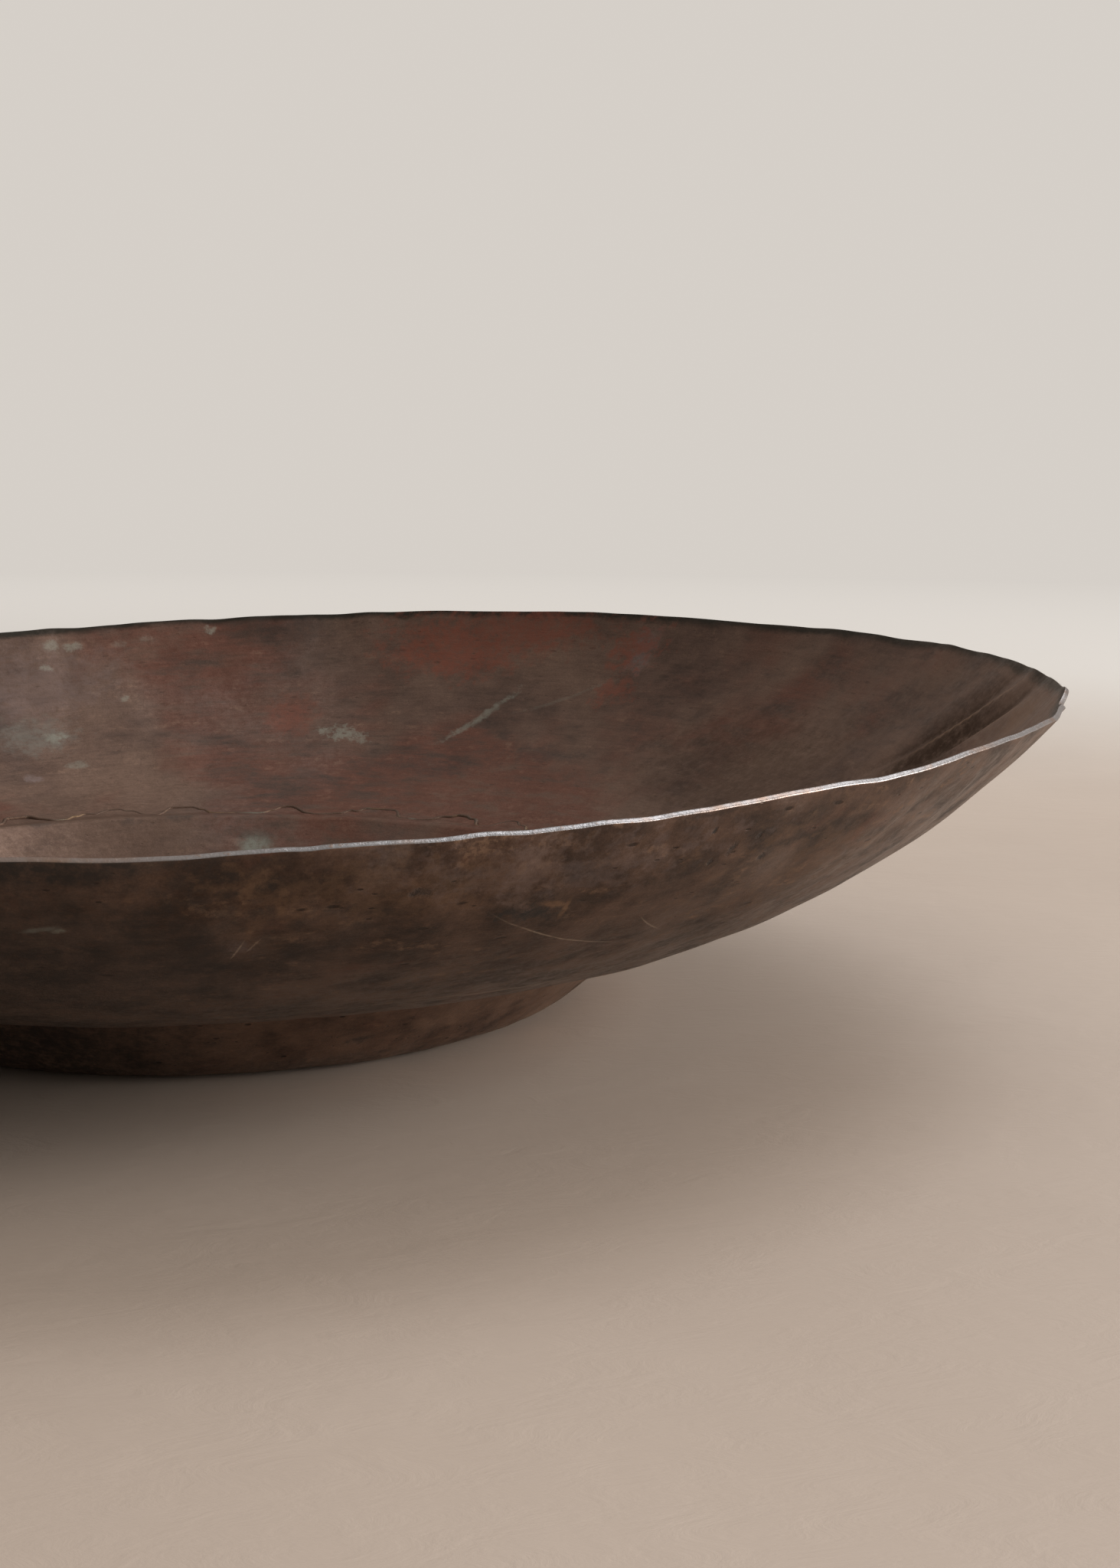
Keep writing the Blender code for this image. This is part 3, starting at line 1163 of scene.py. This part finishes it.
@dataclass
class HammeredWall:
    """The flaring wall, raised from one sheet.

    Attributes:
        form: The bowl's form.
        turn_steps: Steps round the bowl.
        mark_size: Distance between the planishing marks.
        mark_depth: How deep each mark is dished.
        swell_size: Length of the long swells that the mallet left.
        swell_depth: How high they are.
        calm: How far from the bend no mark lies, before they grow again over the same width.
        ripple: Fine waves of the rim, with their size in mm.
        kinks: The rim's small bends.
        flutes: The folds that run down from the rim.
        stiff: How much the rim resists a fold, 0 to 1.
        stiff_reach: How far down the wall that is felt, in mm.
        flute_taper: How much narrower a fold is where it fades out, as a share.
        flute_fade: How soon it fades, as the power of what is left of its reach.
    """

    form: BowlForm
    turn_steps: int = 760
    mark_size: float = 0.018
    mark_depth: float = 0.00058
    swell_size: float = 0.085
    swell_depth: float = 0.0030
    calm: float = 0.006
    ripple: tuple[Wave, ...] = (
        Wave(7, 0.25, 40), Wave(11, 0.22, 200), Wave(17, 0.2, 75), Wave(26, 0.15, 310))
    kinks: tuple[Kink, ...] = (
        Kink(-85.0, 4, -0.6, 0.0, 10), Kink(-76.5, 5, 0.4, -0.3), Kink(-74.0, 5, -0.5, 0.3),
        Kink(-70.0, 5, 0.4, 0.3), Kink(-67.0, 6, -0.5, -0.3), Kink(-59.0, 8, 0.3, 0.3),
        Kink(-52.0, 7, -0.4, -0.3), Kink(-20.5, 7, -1.8, -1.4, 16), Kink(-17.5, 6, 1.0, 0.8),
        Kink(103, 9, 0.7, 0.4), Kink(88, 8, -0.7, 0.4), Kink(74, 10, 0.6, -0.5),
        Kink(28, 9, -0.4, 0.3), Kink(17, 8, -0.3, 0.2), Kink(10, 6, 0.3, -0.2), Kink(140, 8, -1.1, 0.5),
        Kink(167, 7, 0.9, -0.8), Kink(205, 9, -1.2, 0.6), Kink(238, 6, 0.8, 0.4),
        Kink(251, 8, -0.7, -0.5))
    flutes: tuple[Flute, ...] = (
        Flute(-18, 6, 0.5, 46, 6), Flute(-14.6, 6, -0.9, 60, 10), Flute(-11.4, 5.5, 1.6, 74, 13.5),
        Flute(-8.8, 4.8, -2.2, 84, 15.5), Flute(-6.2, 4.8, 2.3, 92, 17),
        Flute(-3.4, 5.2, -2.1, 88, 16), Flute(0.2, 6.5, 1.2, 76, 13), Flute(5.5, 8, -0.9, 62, 9),
        Flute(13, 10, 0.6, 60, 6), Flute(23, 9, -0.4, 52), Flute(-24, 7, 0.5, 54),
        Flute(-29, 7, -0.6, 62, -3), Flute(-34, 7, 0.75, 64, -4), Flute(-39, 7, -0.85, 66, -5),
        Flute(-44, 7, 0.85, 66, -6), Flute(-49, 8, -0.8, 62, -6), Flute(-54, 8, 0.75, 58, -5),
        Flute(-60, 10, -0.45, 50, -3), Flute(132, 8, 0.6, 60, 3), Flute(137, 7, -0.6, 66, 3),
        Flute(142, 8, 0.5, 58, 3), Flute(175, 7, 0.8, 70, -4), Flute(179, 7, -0.8, 72, -4),
        Flute(183.5, 7, 0.8, 70, -4), Flute(188, 8, -0.6, 64, -4), Flute(222, 9, -0.6, 58, 3),
        Flute(228, 8, 0.6, 60, 3), Flute(234, 9, -0.5, 56, 3))
    stiff: float = 0.75
    stiff_reach: float = 7.0
    flute_taper: float = 0.35
    flute_fade: float = 1.3

    def sheet(self, tree: Tree, finish: bpy.types.Material) -> bpy.types.Object:
        """Turns and hammers the wall's outer side.

        Args:
            tree: The raised sheet's tree.
            finish: The outside's finish.

        Returns:
            A plain mesh object without thickness.
        """
        line = self.form.wall_line()
        return tree.run(line_object("wall line", line), "hammered_wall", {
            "Turn Steps": self.turn_steps, "Line Steps": len(line) - 1, "Mark Size": self.mark_size,
            "Mark Depth": self.mark_depth, "Swell Size": self.swell_size, "Swell Depth": self.swell_depth,
            "Seed": SEED, "Teeth": 1.0, "Edge Start": 2.0, "Tooth Depth": 0.0,
            "Calm Radius": self.form.bend_radius, "Calm Width": self.calm, "Material": finish})

    def dress(self, piece: bpy.types.Object) -> None:
        """Gives the wall its fine rim waves, kinks and flutes.

        Args:
            piece: The wall without thickness.
        """
        form, mesh = self.form, piece.data
        count = len(mesh.vertices)
        places = np.empty(count * 3)
        mesh.vertices.foreach_get("co", places)
        places = places.reshape(count, 3)
        normals = np.empty(count * 3, dtype=np.float32)
        mesh.vertex_normals.foreach_get("vector", normals)
        normals = normals.reshape(count, 3)
        angle = np.arctan2(places[:, 1], places[:, 0])
        radius = np.hypot(places[:, 0], places[:, 1])
        away = np.column_stack([np.cos(angle), np.sin(angle), np.zeros(count)])
        climb = np.clip((radius - form.bend_radius) / (form.rim_radius - form.bend_radius), 0, 1)
        below = (form.rim_radius - radius) / MM
        under_rim = np.clip(below, 0, None)

        lift = sum(wave.size * np.cos(wave.crests * angle - radians(wave.crest_at))
                   for wave in self.ripple)
        places[:, 2] += lift * climb**3 * MM
        for kink in self.kinks:
            turned = np.angle(np.exp(1j * (angle - radians(kink.angle))))
            off = (turned * form.rim_radius / MM) / kink.width
            swing = np.exp(-off**2) * np.exp(-under_rim / kink.reach)
            places[:, 2] += swing * kink.lift * MM
            places += away * (swing * kink.pull * MM)[:, None]
        held = 1 - self.stiff * np.exp(-under_rim / self.stiff_reach)
        for flute in self.flutes:
            fall = np.clip(below / flute.reach, 0, 1)
            middle = radians(flute.angle) + radians(flute.lean) * fall
            width = flute.width * (1 - self.flute_taper * fall)
            off = np.angle(np.exp(1j * (angle - middle))) * radius / MM / width
            swing = np.exp(-off**2) * (1 - fall)**self.flute_fade * held * flute.depth * MM
            places -= normals * swing[:, None]
        mesh.vertices.foreach_set("co", places.ravel())
        mesh.update()

    def build(self, tree: Tree, finishes: list[bpy.types.Material]) -> bpy.types.Object:
        """Makes the finished wall.

        Args:
            tree: The raised sheet's tree.
            finishes: Outside, inside and cut edge.

        Returns:
            The wall's object.
        """
        piece = self.sheet(tree, finishes[0])
        self.dress(piece)
        thicken(piece, self.form.sheet, finishes)
        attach(piece, "root")
        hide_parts("bowl_wall")
        return piece


@dataclass
class PlanishedPan:
    """The base pan, sunk from a round sheet, with its toothed flange.

    Attributes:
        form: The bowl's form.
        turn_steps: Steps round the bowl.
        mark_size: Distance between the planishing marks.
        mark_depth: How deep each mark is dished.
        teeth: How many teeth the flange has.
        tooth_depth: How deep the gaps between them are cut.
        settle: How softly the hammered foot is flattened by the floor.
        scarf_start: From the bend to where the sheet starts to get thinner.
        scarf_width: The width in which it does.
    """

    form: BowlForm
    turn_steps: int = 720
    mark_size: float = 0.016
    mark_depth: float = 0.00045
    teeth: int = 30
    tooth_depth: float = 0.0080
    settle: float = 0.0007
    scarf_start: float = 0.001
    scarf_width: float = 0.005

    def scarf(self, radius: float) -> float:
        """The share of its full thickness that the sheet has at a radius."""
        share = (radius - self.form.bend_radius - self.scarf_start) / self.scarf_width
        return 1 + (self.form.edge / self.form.sheet - 1) * min(max(share, 0.0), 1.0)

    def stand(self, piece: bpy.types.Object) -> None:
        """Presses the foot's lowest places up, so that it stands on the floor.

        Args:
            piece: The pan without thickness.
        """
        for vertex in piece.data.vertices:
            height = vertex.co.z
            vertex.co.z = (height + hypot(height, self.settle)) / 2

    def build(self, tree: Tree, finishes: list[bpy.types.Material],
              wall: HammeredWall) -> bpy.types.Object:
        """Makes the finished pan.

        Args:
            tree: The raised sheet's tree.
            finishes: Outside, inside and cut edge.
            wall: The wall, whose long swells it shares.

        Returns:
            The pan's object.
        """
        form, line = self.form, self.form.pan_line()
        steps = len(line) - 1
        cut = self.tooth_depth / (form.lap - form.flange_start)
        piece = tree.run(line_object("pan line", line), "planished_pan", {
            "Turn Steps": self.turn_steps, "Line Steps": steps, "Mark Size": self.mark_size,
            "Mark Depth": self.mark_depth, "Swell Size": wall.swell_size, "Swell Depth": wall.swell_depth,
            "Seed": SEED, "Teeth": float(self.teeth), "Edge Start": (steps - form.flange_steps) / steps,
            "Tooth Depth": form.flange_steps / steps * cut, "Calm Radius": form.bend_radius,
            "Calm Width": wall.calm, "Material": finishes[0]})
        self.stand(piece)
        thicken(piece, self.form.sheet, finishes, self.scarf)
        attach(piece, "root")
        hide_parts("base_pan")
        return piece


@dataclass
class BrazedBead:
    """The brass that closes the seam along the flange's teeth.

    Attributes:
        form: The bowl's form.
        thickness: The bead's half thickness.
        unevenness: How far the thickness varies, as a share.
        sunk: How far its middle lies inside the flange's outer line.
        turn_steps: Steps round the bowl.
        line_steps: Steps across the teeth.
        round_steps: Steps round the bead.
    """

    form: BowlForm
    thickness: float = 0.0009
    unevenness: float = 0.35
    sunk: float = 0.0003
    turn_steps: int = 1440
    line_steps: int = 12
    round_steps: int = 8

    def build(self, tree: Tree, finish: bpy.types.Material, pan: PlanishedPan) -> bpy.types.Object:
        """Makes the finished bead.

        Args:
            tree: The solder bead's tree.
            finish: The brass.
            pan: The pan, whose teeth it follows.

        Returns:
            The bead's object.
        """
        lap = self.form.lap
        line = inward(self.form.flange_line(lap - pan.tooth_depth, lap, self.line_steps), self.sunk)
        piece = tree.run(line_object("bead line", line), "brazed_bead", {
            "Turn Steps": self.turn_steps, "Line Steps": len(line) - 1, "Round Steps": self.round_steps,
            "Thickness": self.thickness, "Unevenness": self.unevenness, "Teeth": float(pan.teeth),
            "Material": finish})
        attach(piece, "root")
        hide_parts("seam_braze")
        return piece


def thicken(piece: bpy.types.Object, thickness: float, finishes: list[bpy.types.Material],
            share_at: Callable[[float], float] | None = None) -> None:
    """Gives a sheet its thickness and eases its cut edges, and keeps the result as a plain mesh.

    Args:
        piece: The sheet's outer side.
        thickness: The sheet's thickness.
        finishes: Outside, inside and cut edge.
        share_at: The share of the thickness at a radius. None means all of it everywhere.
    """
    eased_width, eased_from, eased_steps = 0.0004, radians(60), 2
    mesh = bmesh.new()
    mesh.from_mesh(piece.data)
    lowest = min(mesh.faces, key=lambda face: face.calc_center_median().z)
    if lowest.normal.z > 0:
        bmesh.ops.reverse_faces(mesh, faces=mesh.faces[:])
    mesh.to_mesh(piece.data)
    mesh.free()
    piece.data.materials.clear()
    for finish in finishes:
        piece.data.materials.append(finish)
    shell = piece.modifiers.new("thickness", "SOLIDIFY")
    shell.thickness = thickness
    shell.offset = -1.0
    shell.use_even_offset = True
    shell.material_offset = 1
    shell.material_offset_rim = 2
    if share_at:
        thinned = piece.vertex_groups.new(name="thickness")
        for vertex in piece.data.vertices:
            thinned.add([vertex.index], share_at(vertex.co.xy.length), "REPLACE")
        shell.vertex_group = thinned.name
    eased = piece.modifiers.new("eased edges", "BEVEL")
    eased.limit_method = "ANGLE"
    eased.angle_limit = eased_from
    eased.width = eased_width
    eased.segments = eased_steps
    graph = bpy.context.evaluated_depsgraph_get()
    solid = bpy.data.meshes.new_from_object(piece.evaluated_get(graph), depsgraph=graph)
    piece.modifiers.clear()
    piece.vertex_groups.clear()
    solid.name = piece.name
    piece.data = solid


# ---------------------------------------------------------------------------------------------
# The studio
# ---------------------------------------------------------------------------------------------

@dataclass(frozen=True)
class Lamp:
    """A soft square lamp.

    Attributes:
        name: The lamp's name.
        place: Where it hangs.
        aim: What it is turned to.
        size: Its side.
        power: Its power in watts.
        tint: Its colour.
    """

    name: str
    place: Colour
    aim: Colour
    size: float
    power: float
    tint: Colour

    def hang(self) -> None:
        """Puts the lamp in the scene."""
        light = bpy.data.lights.new(self.name, "AREA")
        light.shape = "SQUARE"
        light.size = self.size
        light.energy = self.power
        light.color = self.tint
        lamp = in_scene(self.name, light)
        lamp.visible_camera = False
        lamp.location = self.place
        lamp.rotation_euler = (Vector(self.aim) - Vector(self.place)).to_track_quat("-Z", "Y").to_euler()


@dataclass(frozen=True)
class Studio:
    """The plain floor, the soft light and the camera.

    Attributes:
        lit_side: Where the room is brightest, as a direction whose length says how fast it dims.
        dim: The room's colour on its dim side.
        pale: Its colour on its bright side.
        floor_half: Half the side of the floor.
        floor_middle: What the floor's tone is measured from.
        plaster: The floor's two tones near the bowl.
        far_plaster: Its tone further off.
        far_from: From where to where it takes that tone, in metres.
        fade: One over the distances between which the floor passes into the room's colour.
        lamps: The key and the window.
        eye: Where the camera is.
        turned: How far it is turned from +Y towards +X, in degrees.
        lowered: How far it looks down, in degrees.
        rolled: How far it is rolled, in degrees.
        lens: Its focal length in mm on a sensor 36 mm wide.
    """

    lit_side: Colour = (0.75, 0.35, 0.35)
    dim: Colour = (0.30, 0.275, 0.25)
    pale: Colour = (0.668, 0.626, 0.580)
    floor_half: float = 60.0
    floor_middle: Colour = (0.0, 0.3, 0.0)
    plaster: tuple[Colour, Colour] = ((0.372, 0.302, 0.250), (0.402, 0.330, 0.275))
    far_plaster: Colour = (0.53, 0.505, 0.475)
    far_from: tuple[float, float] = (0.70, 1.5)
    fade: tuple[float, float] = (0.80, 0.40)
    lamps: tuple[Lamp, ...] = (
        Lamp("key", (2.4, 1.7, 4.0), (0.0, 0.0, 0.05), 2.4, 94, (0.94, 0.96, 0.99)),
        Lamp("window", (4.35, -1.2, 1.5), (0.0, 0.0, 0.03), 2.85, 298, (1.0, 0.97, 0.94)))
    eye: Colour = (0.0, -0.7902, 0.1885)
    turned: float = 8.87
    lowered: float = 8.72
    rolled: float = 0.40
    lens: float = 54.1

    def surround(self, recipe: Recipe, towards: Socket) -> Socket:
        """The colour of the pale room in a direction, dimmer away from its bright side."""
        lit = recipe.vector("DOT_PRODUCT", towards, self.lit_side)
        return recipe.blend(recipe.step(lit, -0.5, 0.3), self.dim, self.pale)

    def plaster_finish(self) -> bpy.types.Material:
        """Makes the floor's material, which passes into the room's colour far away.

        Returns:
            A material for the floor.
        """
        material, recipe, shader = new_finish("pale plaster")
        place = recipe.add("ShaderNodeTexCoord").outputs["Object"]
        cloud = recipe.noise(place, 5, 5, 0.6, 0.5)
        trowel = recipe.noise(recipe.vector("MULTIPLY", place, (1.0, 2.2, 1.0)), 38, 6, 0.72, 1.2)
        near = recipe.blend(recipe.step(cloud, 0.25, 0.75), *self.plaster)
        out = recipe.vector("LENGTH", recipe.vector("ADD", place, self.floor_middle))
        colour = recipe.blend(recipe.step(out, *self.far_from), near, self.far_plaster)
        gone = recipe.step(recipe.math("DIVIDE", 1.0, out), *self.fade)
        recipe.feed(shader.inputs["Base Color"], recipe.blend(gone, colour, (0.0, 0.0, 0.0)))
        towards = recipe.vector("NORMALIZE", place)
        recipe.feed(shader.inputs["Emission Color"], self.surround(recipe, towards))
        recipe.feed(shader.inputs["Emission Strength"], gone)
        gloss = recipe.math("SUBTRACT", 0.5, recipe.math("MULTIPLY", gone, 0.5))
        recipe.feed(shader.inputs["Specular IOR Level"], gloss)
        shader.inputs["Roughness"].default_value = 0.62
        height = recipe.math("MULTIPLY_ADD", cloud, 2.0, recipe.math("MULTIPLY", trowel, 0.7))
        recipe.bump(shader, height, MM, 0.35)
        return material

    def floor(self) -> None:
        """Makes the plain pale floor."""
        mesh = bpy.data.meshes.new("floor")
        size = self.floor_half
        corners = [(-size, -size, 0), (size, -size, 0), (size, size, 0), (-size, size, 0)]
        mesh.from_pydata(corners, [], [(0, 1, 2, 3)])
        floor = in_scene("floor", mesh)
        mesh.materials.append(self.plaster_finish())

    def light(self) -> None:
        """Adds the lamps and the pale surroundings."""
        for lamp in self.lamps:
            lamp.hang()
        world = bpy.data.worlds.new("pale room")
        world.use_nodes = True
        recipe = Recipe(world.node_tree)
        towards = recipe.add("ShaderNodeTexCoord").outputs["Generated"]
        back = world.node_tree.nodes["Background"]
        recipe.feed(back.inputs["Color"], self.surround(recipe, towards))
        back.inputs["Strength"].default_value = 1.0
        bpy.context.scene.world = world

    def camera(self) -> None:
        """Sets up the camera."""
        turn, drop, roll = radians(self.turned), radians(self.lowered), radians(self.rolled)
        ahead = Vector((sin(turn) * cos(drop), cos(turn) * cos(drop), -sin(drop)))
        right = Vector((cos(turn), -sin(turn), 0.0))
        above = right.cross(ahead)
        level = cos(roll) * right + sin(roll) * above
        upright = cos(roll) * above - sin(roll) * right
        lens = bpy.data.cameras.new("camera")
        lens.sensor_fit = "AUTO"
        lens.sensor_width = 36.0
        lens.lens = self.lens
        lens.clip_start = 0.02
        camera = in_scene("camera", lens)
        turned = Matrix((level, upright, -ahead)).transposed().to_4x4()
        camera.matrix_world = Matrix.Translation(self.eye) @ turned
        bpy.context.scene.camera = camera
        bpy.context.scene.view_settings.view_transform = "Standard"


def main() -> None:
    """Builds the bowl and the studio, and reports each piece."""
    logging.basicConfig(level=logging.INFO, format="%(message)s")
    form = BowlForm()
    group = mark_group()
    studio = Studio()
    studio.floor()
    studio.light()
    studio.camera()
    cut_edge = CutEdge().build()
    inside = INSIDE.build(group)
    wall_finishes = [WALL_OUTSIDE.build(group), inside, cut_edge]
    pan_finishes = [PAN_OUTSIDE.build(group), inside, inside]
    sheet_tree = raised_sheet(form)
    wall = HammeredWall(form)
    pan = PlanishedPan(form)
    bead = BrazedBead(form)
    pieces = [wall.build(sheet_tree, wall_finishes), pan.build(sheet_tree, pan_finishes, wall),
              bead.build(solder_bead(form), TarnishedBrass().build(), pan)]
    for piece in pieces:
        piece.data.calc_loop_triangles()
        logging.info("%s: %d triangles", piece.name, len(piece.data.loop_triangles))


WALL_OUTSIDE = AgedCopper(
    name="wall outside, smoked brown", ground=(0.068, 0.042, 0.031), warm=(0.138, 0.087, 0.065),
    shade=(0.029, 0.019, 0.0145), red=(0.130, 0.056, 0.040), pale=(0.190, 0.150, 0.132),
    bare=(0.260, 0.165, 0.110), patch=60, contrast=0.62, dark_share=0.58, red_share=0.30, pale_share=0.45,
    rubbed=0.55, metal=0.80, gloss=(0.30, 0.48), rim_darkening=0.0, pan_warmth=0.0,
    ridge_wear_and_highlight=0.1583, specks=0.85, glance=(0.93, 0.89, 0.86), offset=(0.31, 0.12, 0.77),
    marks=(
        # Of these soot marks, the broad one at -98 degrees is painted shade on the wall's left, the side
        # turned from the lamps, and the strip at -97 degrees just under the rim is simply darker; the
        # small ones are soot stains.
        *marks_of_kind(MarkKind.SOOT_AND_PAINTED_SHADE, (-97, 275, 34, 3.4, 0, 0.95, 0.4), (-98, 248, 58, 32, 0, 0.66, 0.6),
                (-88.6, 264, 3.5, 4.0, 0, 0.6), (-93.4, 256.5, 4, 4, 0, 0.7),
                (-93, 242.5, 8, 5.5, 0, 0.7), (-82, 256, 4.5, 4.5, 0, 0.45, 0.25),
                (-72.4, 257, 10, 3.4, 6, 1.0, 0.9)),
        # The broad tan mark at -52 degrees is a painted sheen, the lit floor reflected on the wall's
        # right side; the others are tan patches of the patina.
        *marks_of_kind(MarkKind.TAN, (-87.5, 269.5, 4.5, 2.0, -30, 0.5), (-86.0, 265.5, 1.8, 4.5, 0, 0.5),
                (-87.2, 259.5, 2.2, 3.5, 25, 0.3), (-74, 269, 1.6, 1.6, 0, 0.8, 0.4),
                (-71, 258.6, 4.4, 1.0, 10, 0.8, 0.4), (-70.2, 256.5, 1.0, 3.4, 0, 0.8, 0.4),
                (-80, 266, 46, 7, 0, 0.3, 1.0), (-52, 258, 40, 14, 0, 0.28, 1.2)),
        *marks_of_kind(MarkKind.HAZE, (-88, 253, 4.0, 3.0, 30, 0.5, 1.2), (-74, 268, 7, 7, 0, 0.5, 1.0),
                (-71, 267, 44, 6, 0, 0.35, 1.2)),
        # The two long thin lines at radius 207 mm, at -67.5 and -86 degrees, are painted highlights along
        # the wall's lower contour; the others are scratches.
        *marks_of_kind(MarkKind.SCRATCH_AND_PAINTED_HIGHLIGHT, (-88, 252.5, 0.3, 4, 24, 0.5, 0.2),
                (-87.2, 253.5, 0.3, 3, 35, 0.4, 0.2), (-67.5, 207, 38, 0.9, 0, 0.5, 0.1, -3.4),
                (-86, 207, 46, 0.8, 0, 0.24, 0.1, -5.1), (-69, 244.7, 26, 0.3, 24, 0.75, 0.03, 0.6),
                (-62.5, 244, 9, 0.25, 35, 0.55, 0.03, 0.3)),
        *marks_of_kind(MarkKind.GREY_GREEN, (-97.6, 262, 5, 0.8, -8, 0.9, 0.5)),
        *marks_of_kind(MarkKind.VERDIGRIS, (-96.8, 261.5, 2.2, 0.7, -8, 0.6, 0.5)),
        *marks_of_kind(MarkKind.PIT, (-79, 266, 2.8, 1.4), (-61, 268, 1.6, 1.6), (-63, 272, 1.1, 1.0),
                (-58, 264, 1.2, 1.6), (-62, 265, 0.9, 0.9), (-59.5, 270, 1.0, 0.8))))

INSIDE = AgedCopper(
    name="inside, brown and red", ground=(0.093, 0.058, 0.046), warm=(0.158, 0.102, 0.077),
    shade=(0.036, 0.024, 0.019), red=(0.128, 0.053, 0.038), pale=(0.150, 0.113, 0.101),
    bare=(0.205, 0.130, 0.092), patch=17, contrast=0.25, dark_share=0.42, red_share=0.60, pale_share=0.42,
    rubbed=0.35, metal=0.74, gloss=(0.40, 0.56), rim_darkening=0.9, pan_warmth=0.35,
    ridge_wear_and_highlight=0.0, specks=0.3, glance=(0.70, 0.61, 0.56), offset=(0.83, 0.44, 0.21),
    marks=(
        # These marks are painted shade: the thin ones at -5.5 and 0.2 degrees darken the valleys of the
        # folds at the tip; those at (-3, 252), (22, 222) and (-8, 272) darken the right side and tip,
        # turned from the lamps; those at (106, 258), (117, 262) and (108, 147) darken the left side and
        # the pan's left slope; the broad one round the axis darkens the whole floor.
        *marks_of_kind(MarkKind.SMOKE, (-5.5, 262, 27, 3.2, 50, 0.85, 0.12),
                (0.2, 260, 27, 3.4, 50, 0.85, 0.12), (-3, 252, 24, 26, 0, 0.9, 0.3),
                (22, 222, 62, 30, 0, 0.45, 0.5), (-8, 272, 40, 12, 0, 0.12, 0.4),
                (106, 258, 36, 12, 0, 0.16, 0.5), (117, 262, 44, 22, 0, 0.55, 0.5),
                (0, 0, 168, 168, 0, 0.2, 0.2), (108, 147, 60, 18, 0, 0.45, 0.3)),
        # The thin tan lines at -2.9 and -8.1 degrees are painted highlights along the ridges of the folds
        # at the tip; the third lightens a patch by the rim near the tip.
        *marks_of_kind(MarkKind.TAN, (-2.9, 262, 26, 2.0, 50, 0.5, 0.12), (-8.1, 264, 20, 1.8, 48, 0.4, 0.15),
                (-13, 272, 13, 8, 0, 0.28, 0.5)),
        *marks_of_kind(MarkKind.HAZE, (106, 256, 42, 17, 0, 0.34, 0.6), (109, 205, 4, 3, 0, 0.9),
                (45, 263, 7, 5, 0, 0.7), (45, 270, 7, 4.5, 0, 0.6)),
        *marks_of_kind(MarkKind.GREY_GREEN, (107, 231, 19, 11, 0, 0.62, 0.6), (81, 145, 6.4, 4.0, 0, 1.0, 0.2)),
        *marks_of_kind(MarkKind.VERDIGRIS, (103.2, 272, 4, 2.2, 0, 0.45), (101.2, 272, 4, 1.8, 0, 0.45),
                (97, 271, 4, 1.6, 0, 0.24), (94.6, 272, 3, 1.6, 0, 0.24), (104, 264, 3, 1.6, 0, 0.4),
                (88.5, 274, 2.4, 1.8, 0, 0.5), (97, 248, 2.4, 1.8, 0, 0.4),
                (105, 230, 5.5, 2.6, 0, 0.45), (103.5, 212, 5.5, 2.0, 0, 0.36),
                (74, 226, 10, 4.0, -14, 0.55, 1.3), (71.5, 222, 5, 2.6, -10, 0.42, 1.3),
                (59.3, 235, 19, 2.0, 48, 0.48, 0.8), (51, 246, 20, 1.0, 24, 0.16, 0.7),
                (81, 145, 8.5, 5.8, 0, 0.45, 0.2)),
        *marks_of_kind(MarkKind.CUPRITE, (64, 264, 38, 12, 0, 0.75, 0.6), (57, 270, 32, 8, 0, 0.7, 0.6),
                (46, 267, 14, 8, 0, 0.7, 1.0), (46, 251, 11, 6, 0, 0.6, 1.0),
                (80, 235, 12, 12, 0, 0.55, 0.5)),
        *marks_of_kind(MarkKind.SOOT_AND_PAINTED_SHADE, (79.5, 272, 20, 5, 0, 0.4), (91.5, 262, 9, 5.5, 0, 0.35),
                (63, 206, 34, 6, 0, 0.4, 0.9), (50, 217, 24, 5.5, 0, 0.4, 0.9),
                (85.5, 166, 5, 1.8, 0, 0.5), (87, 160, 2, 4.0, 0, 0.4), (93, 157, 7, 2.2, 0, 0.5),
                (94, 164, 5, 1.8, 0, 0.4), (100, 155, 5, 1.6, 0, 0.4), (113, 157, 6, 1.8, 0, 0.5))))

PAN_OUTSIDE = AgedCopper(
    name="pan outside, sooty brown", ground=(0.125, 0.074, 0.053), warm=(0.240, 0.150, 0.106),
    shade=(0.014, 0.010, 0.009), red=(0.140, 0.062, 0.044), pale=(0.190, 0.150, 0.125),
    bare=(0.270, 0.170, 0.115), patch=38, contrast=0.5, dark_share=0.45, red_share=0.35, pale_share=0.35,
    rubbed=0.50, metal=0.75, gloss=(0.34, 0.52), rim_darkening=0.0, pan_warmth=0.0,
    ridge_wear_and_highlight=0.0, specks=0.8, glance=(0.84, 0.79, 0.75), offset=(0.55, 0.91, 0.13),
    # The broad soot marks at -118 and -110 degrees are painted shade, blackening the band's left side
    # where no lamp reaches; the others darken smaller patches.
    marks=marks_of_kind(MarkKind.SOOT_AND_PAINTED_SHADE, (-71, 139.5, 4, 1.8, 0, 0.8), (-118, 135, 82, 30, 0, 0.95, 0.4),
                 (-110, 138, 46, 26, 0, 0.9, 0.4), (-66, 132, 3, 1.4, 0, 0.7),
                 (-76, 128, 30, 6, 0, 0.6, 0.9)))


if __name__ == "__main__":
    main()
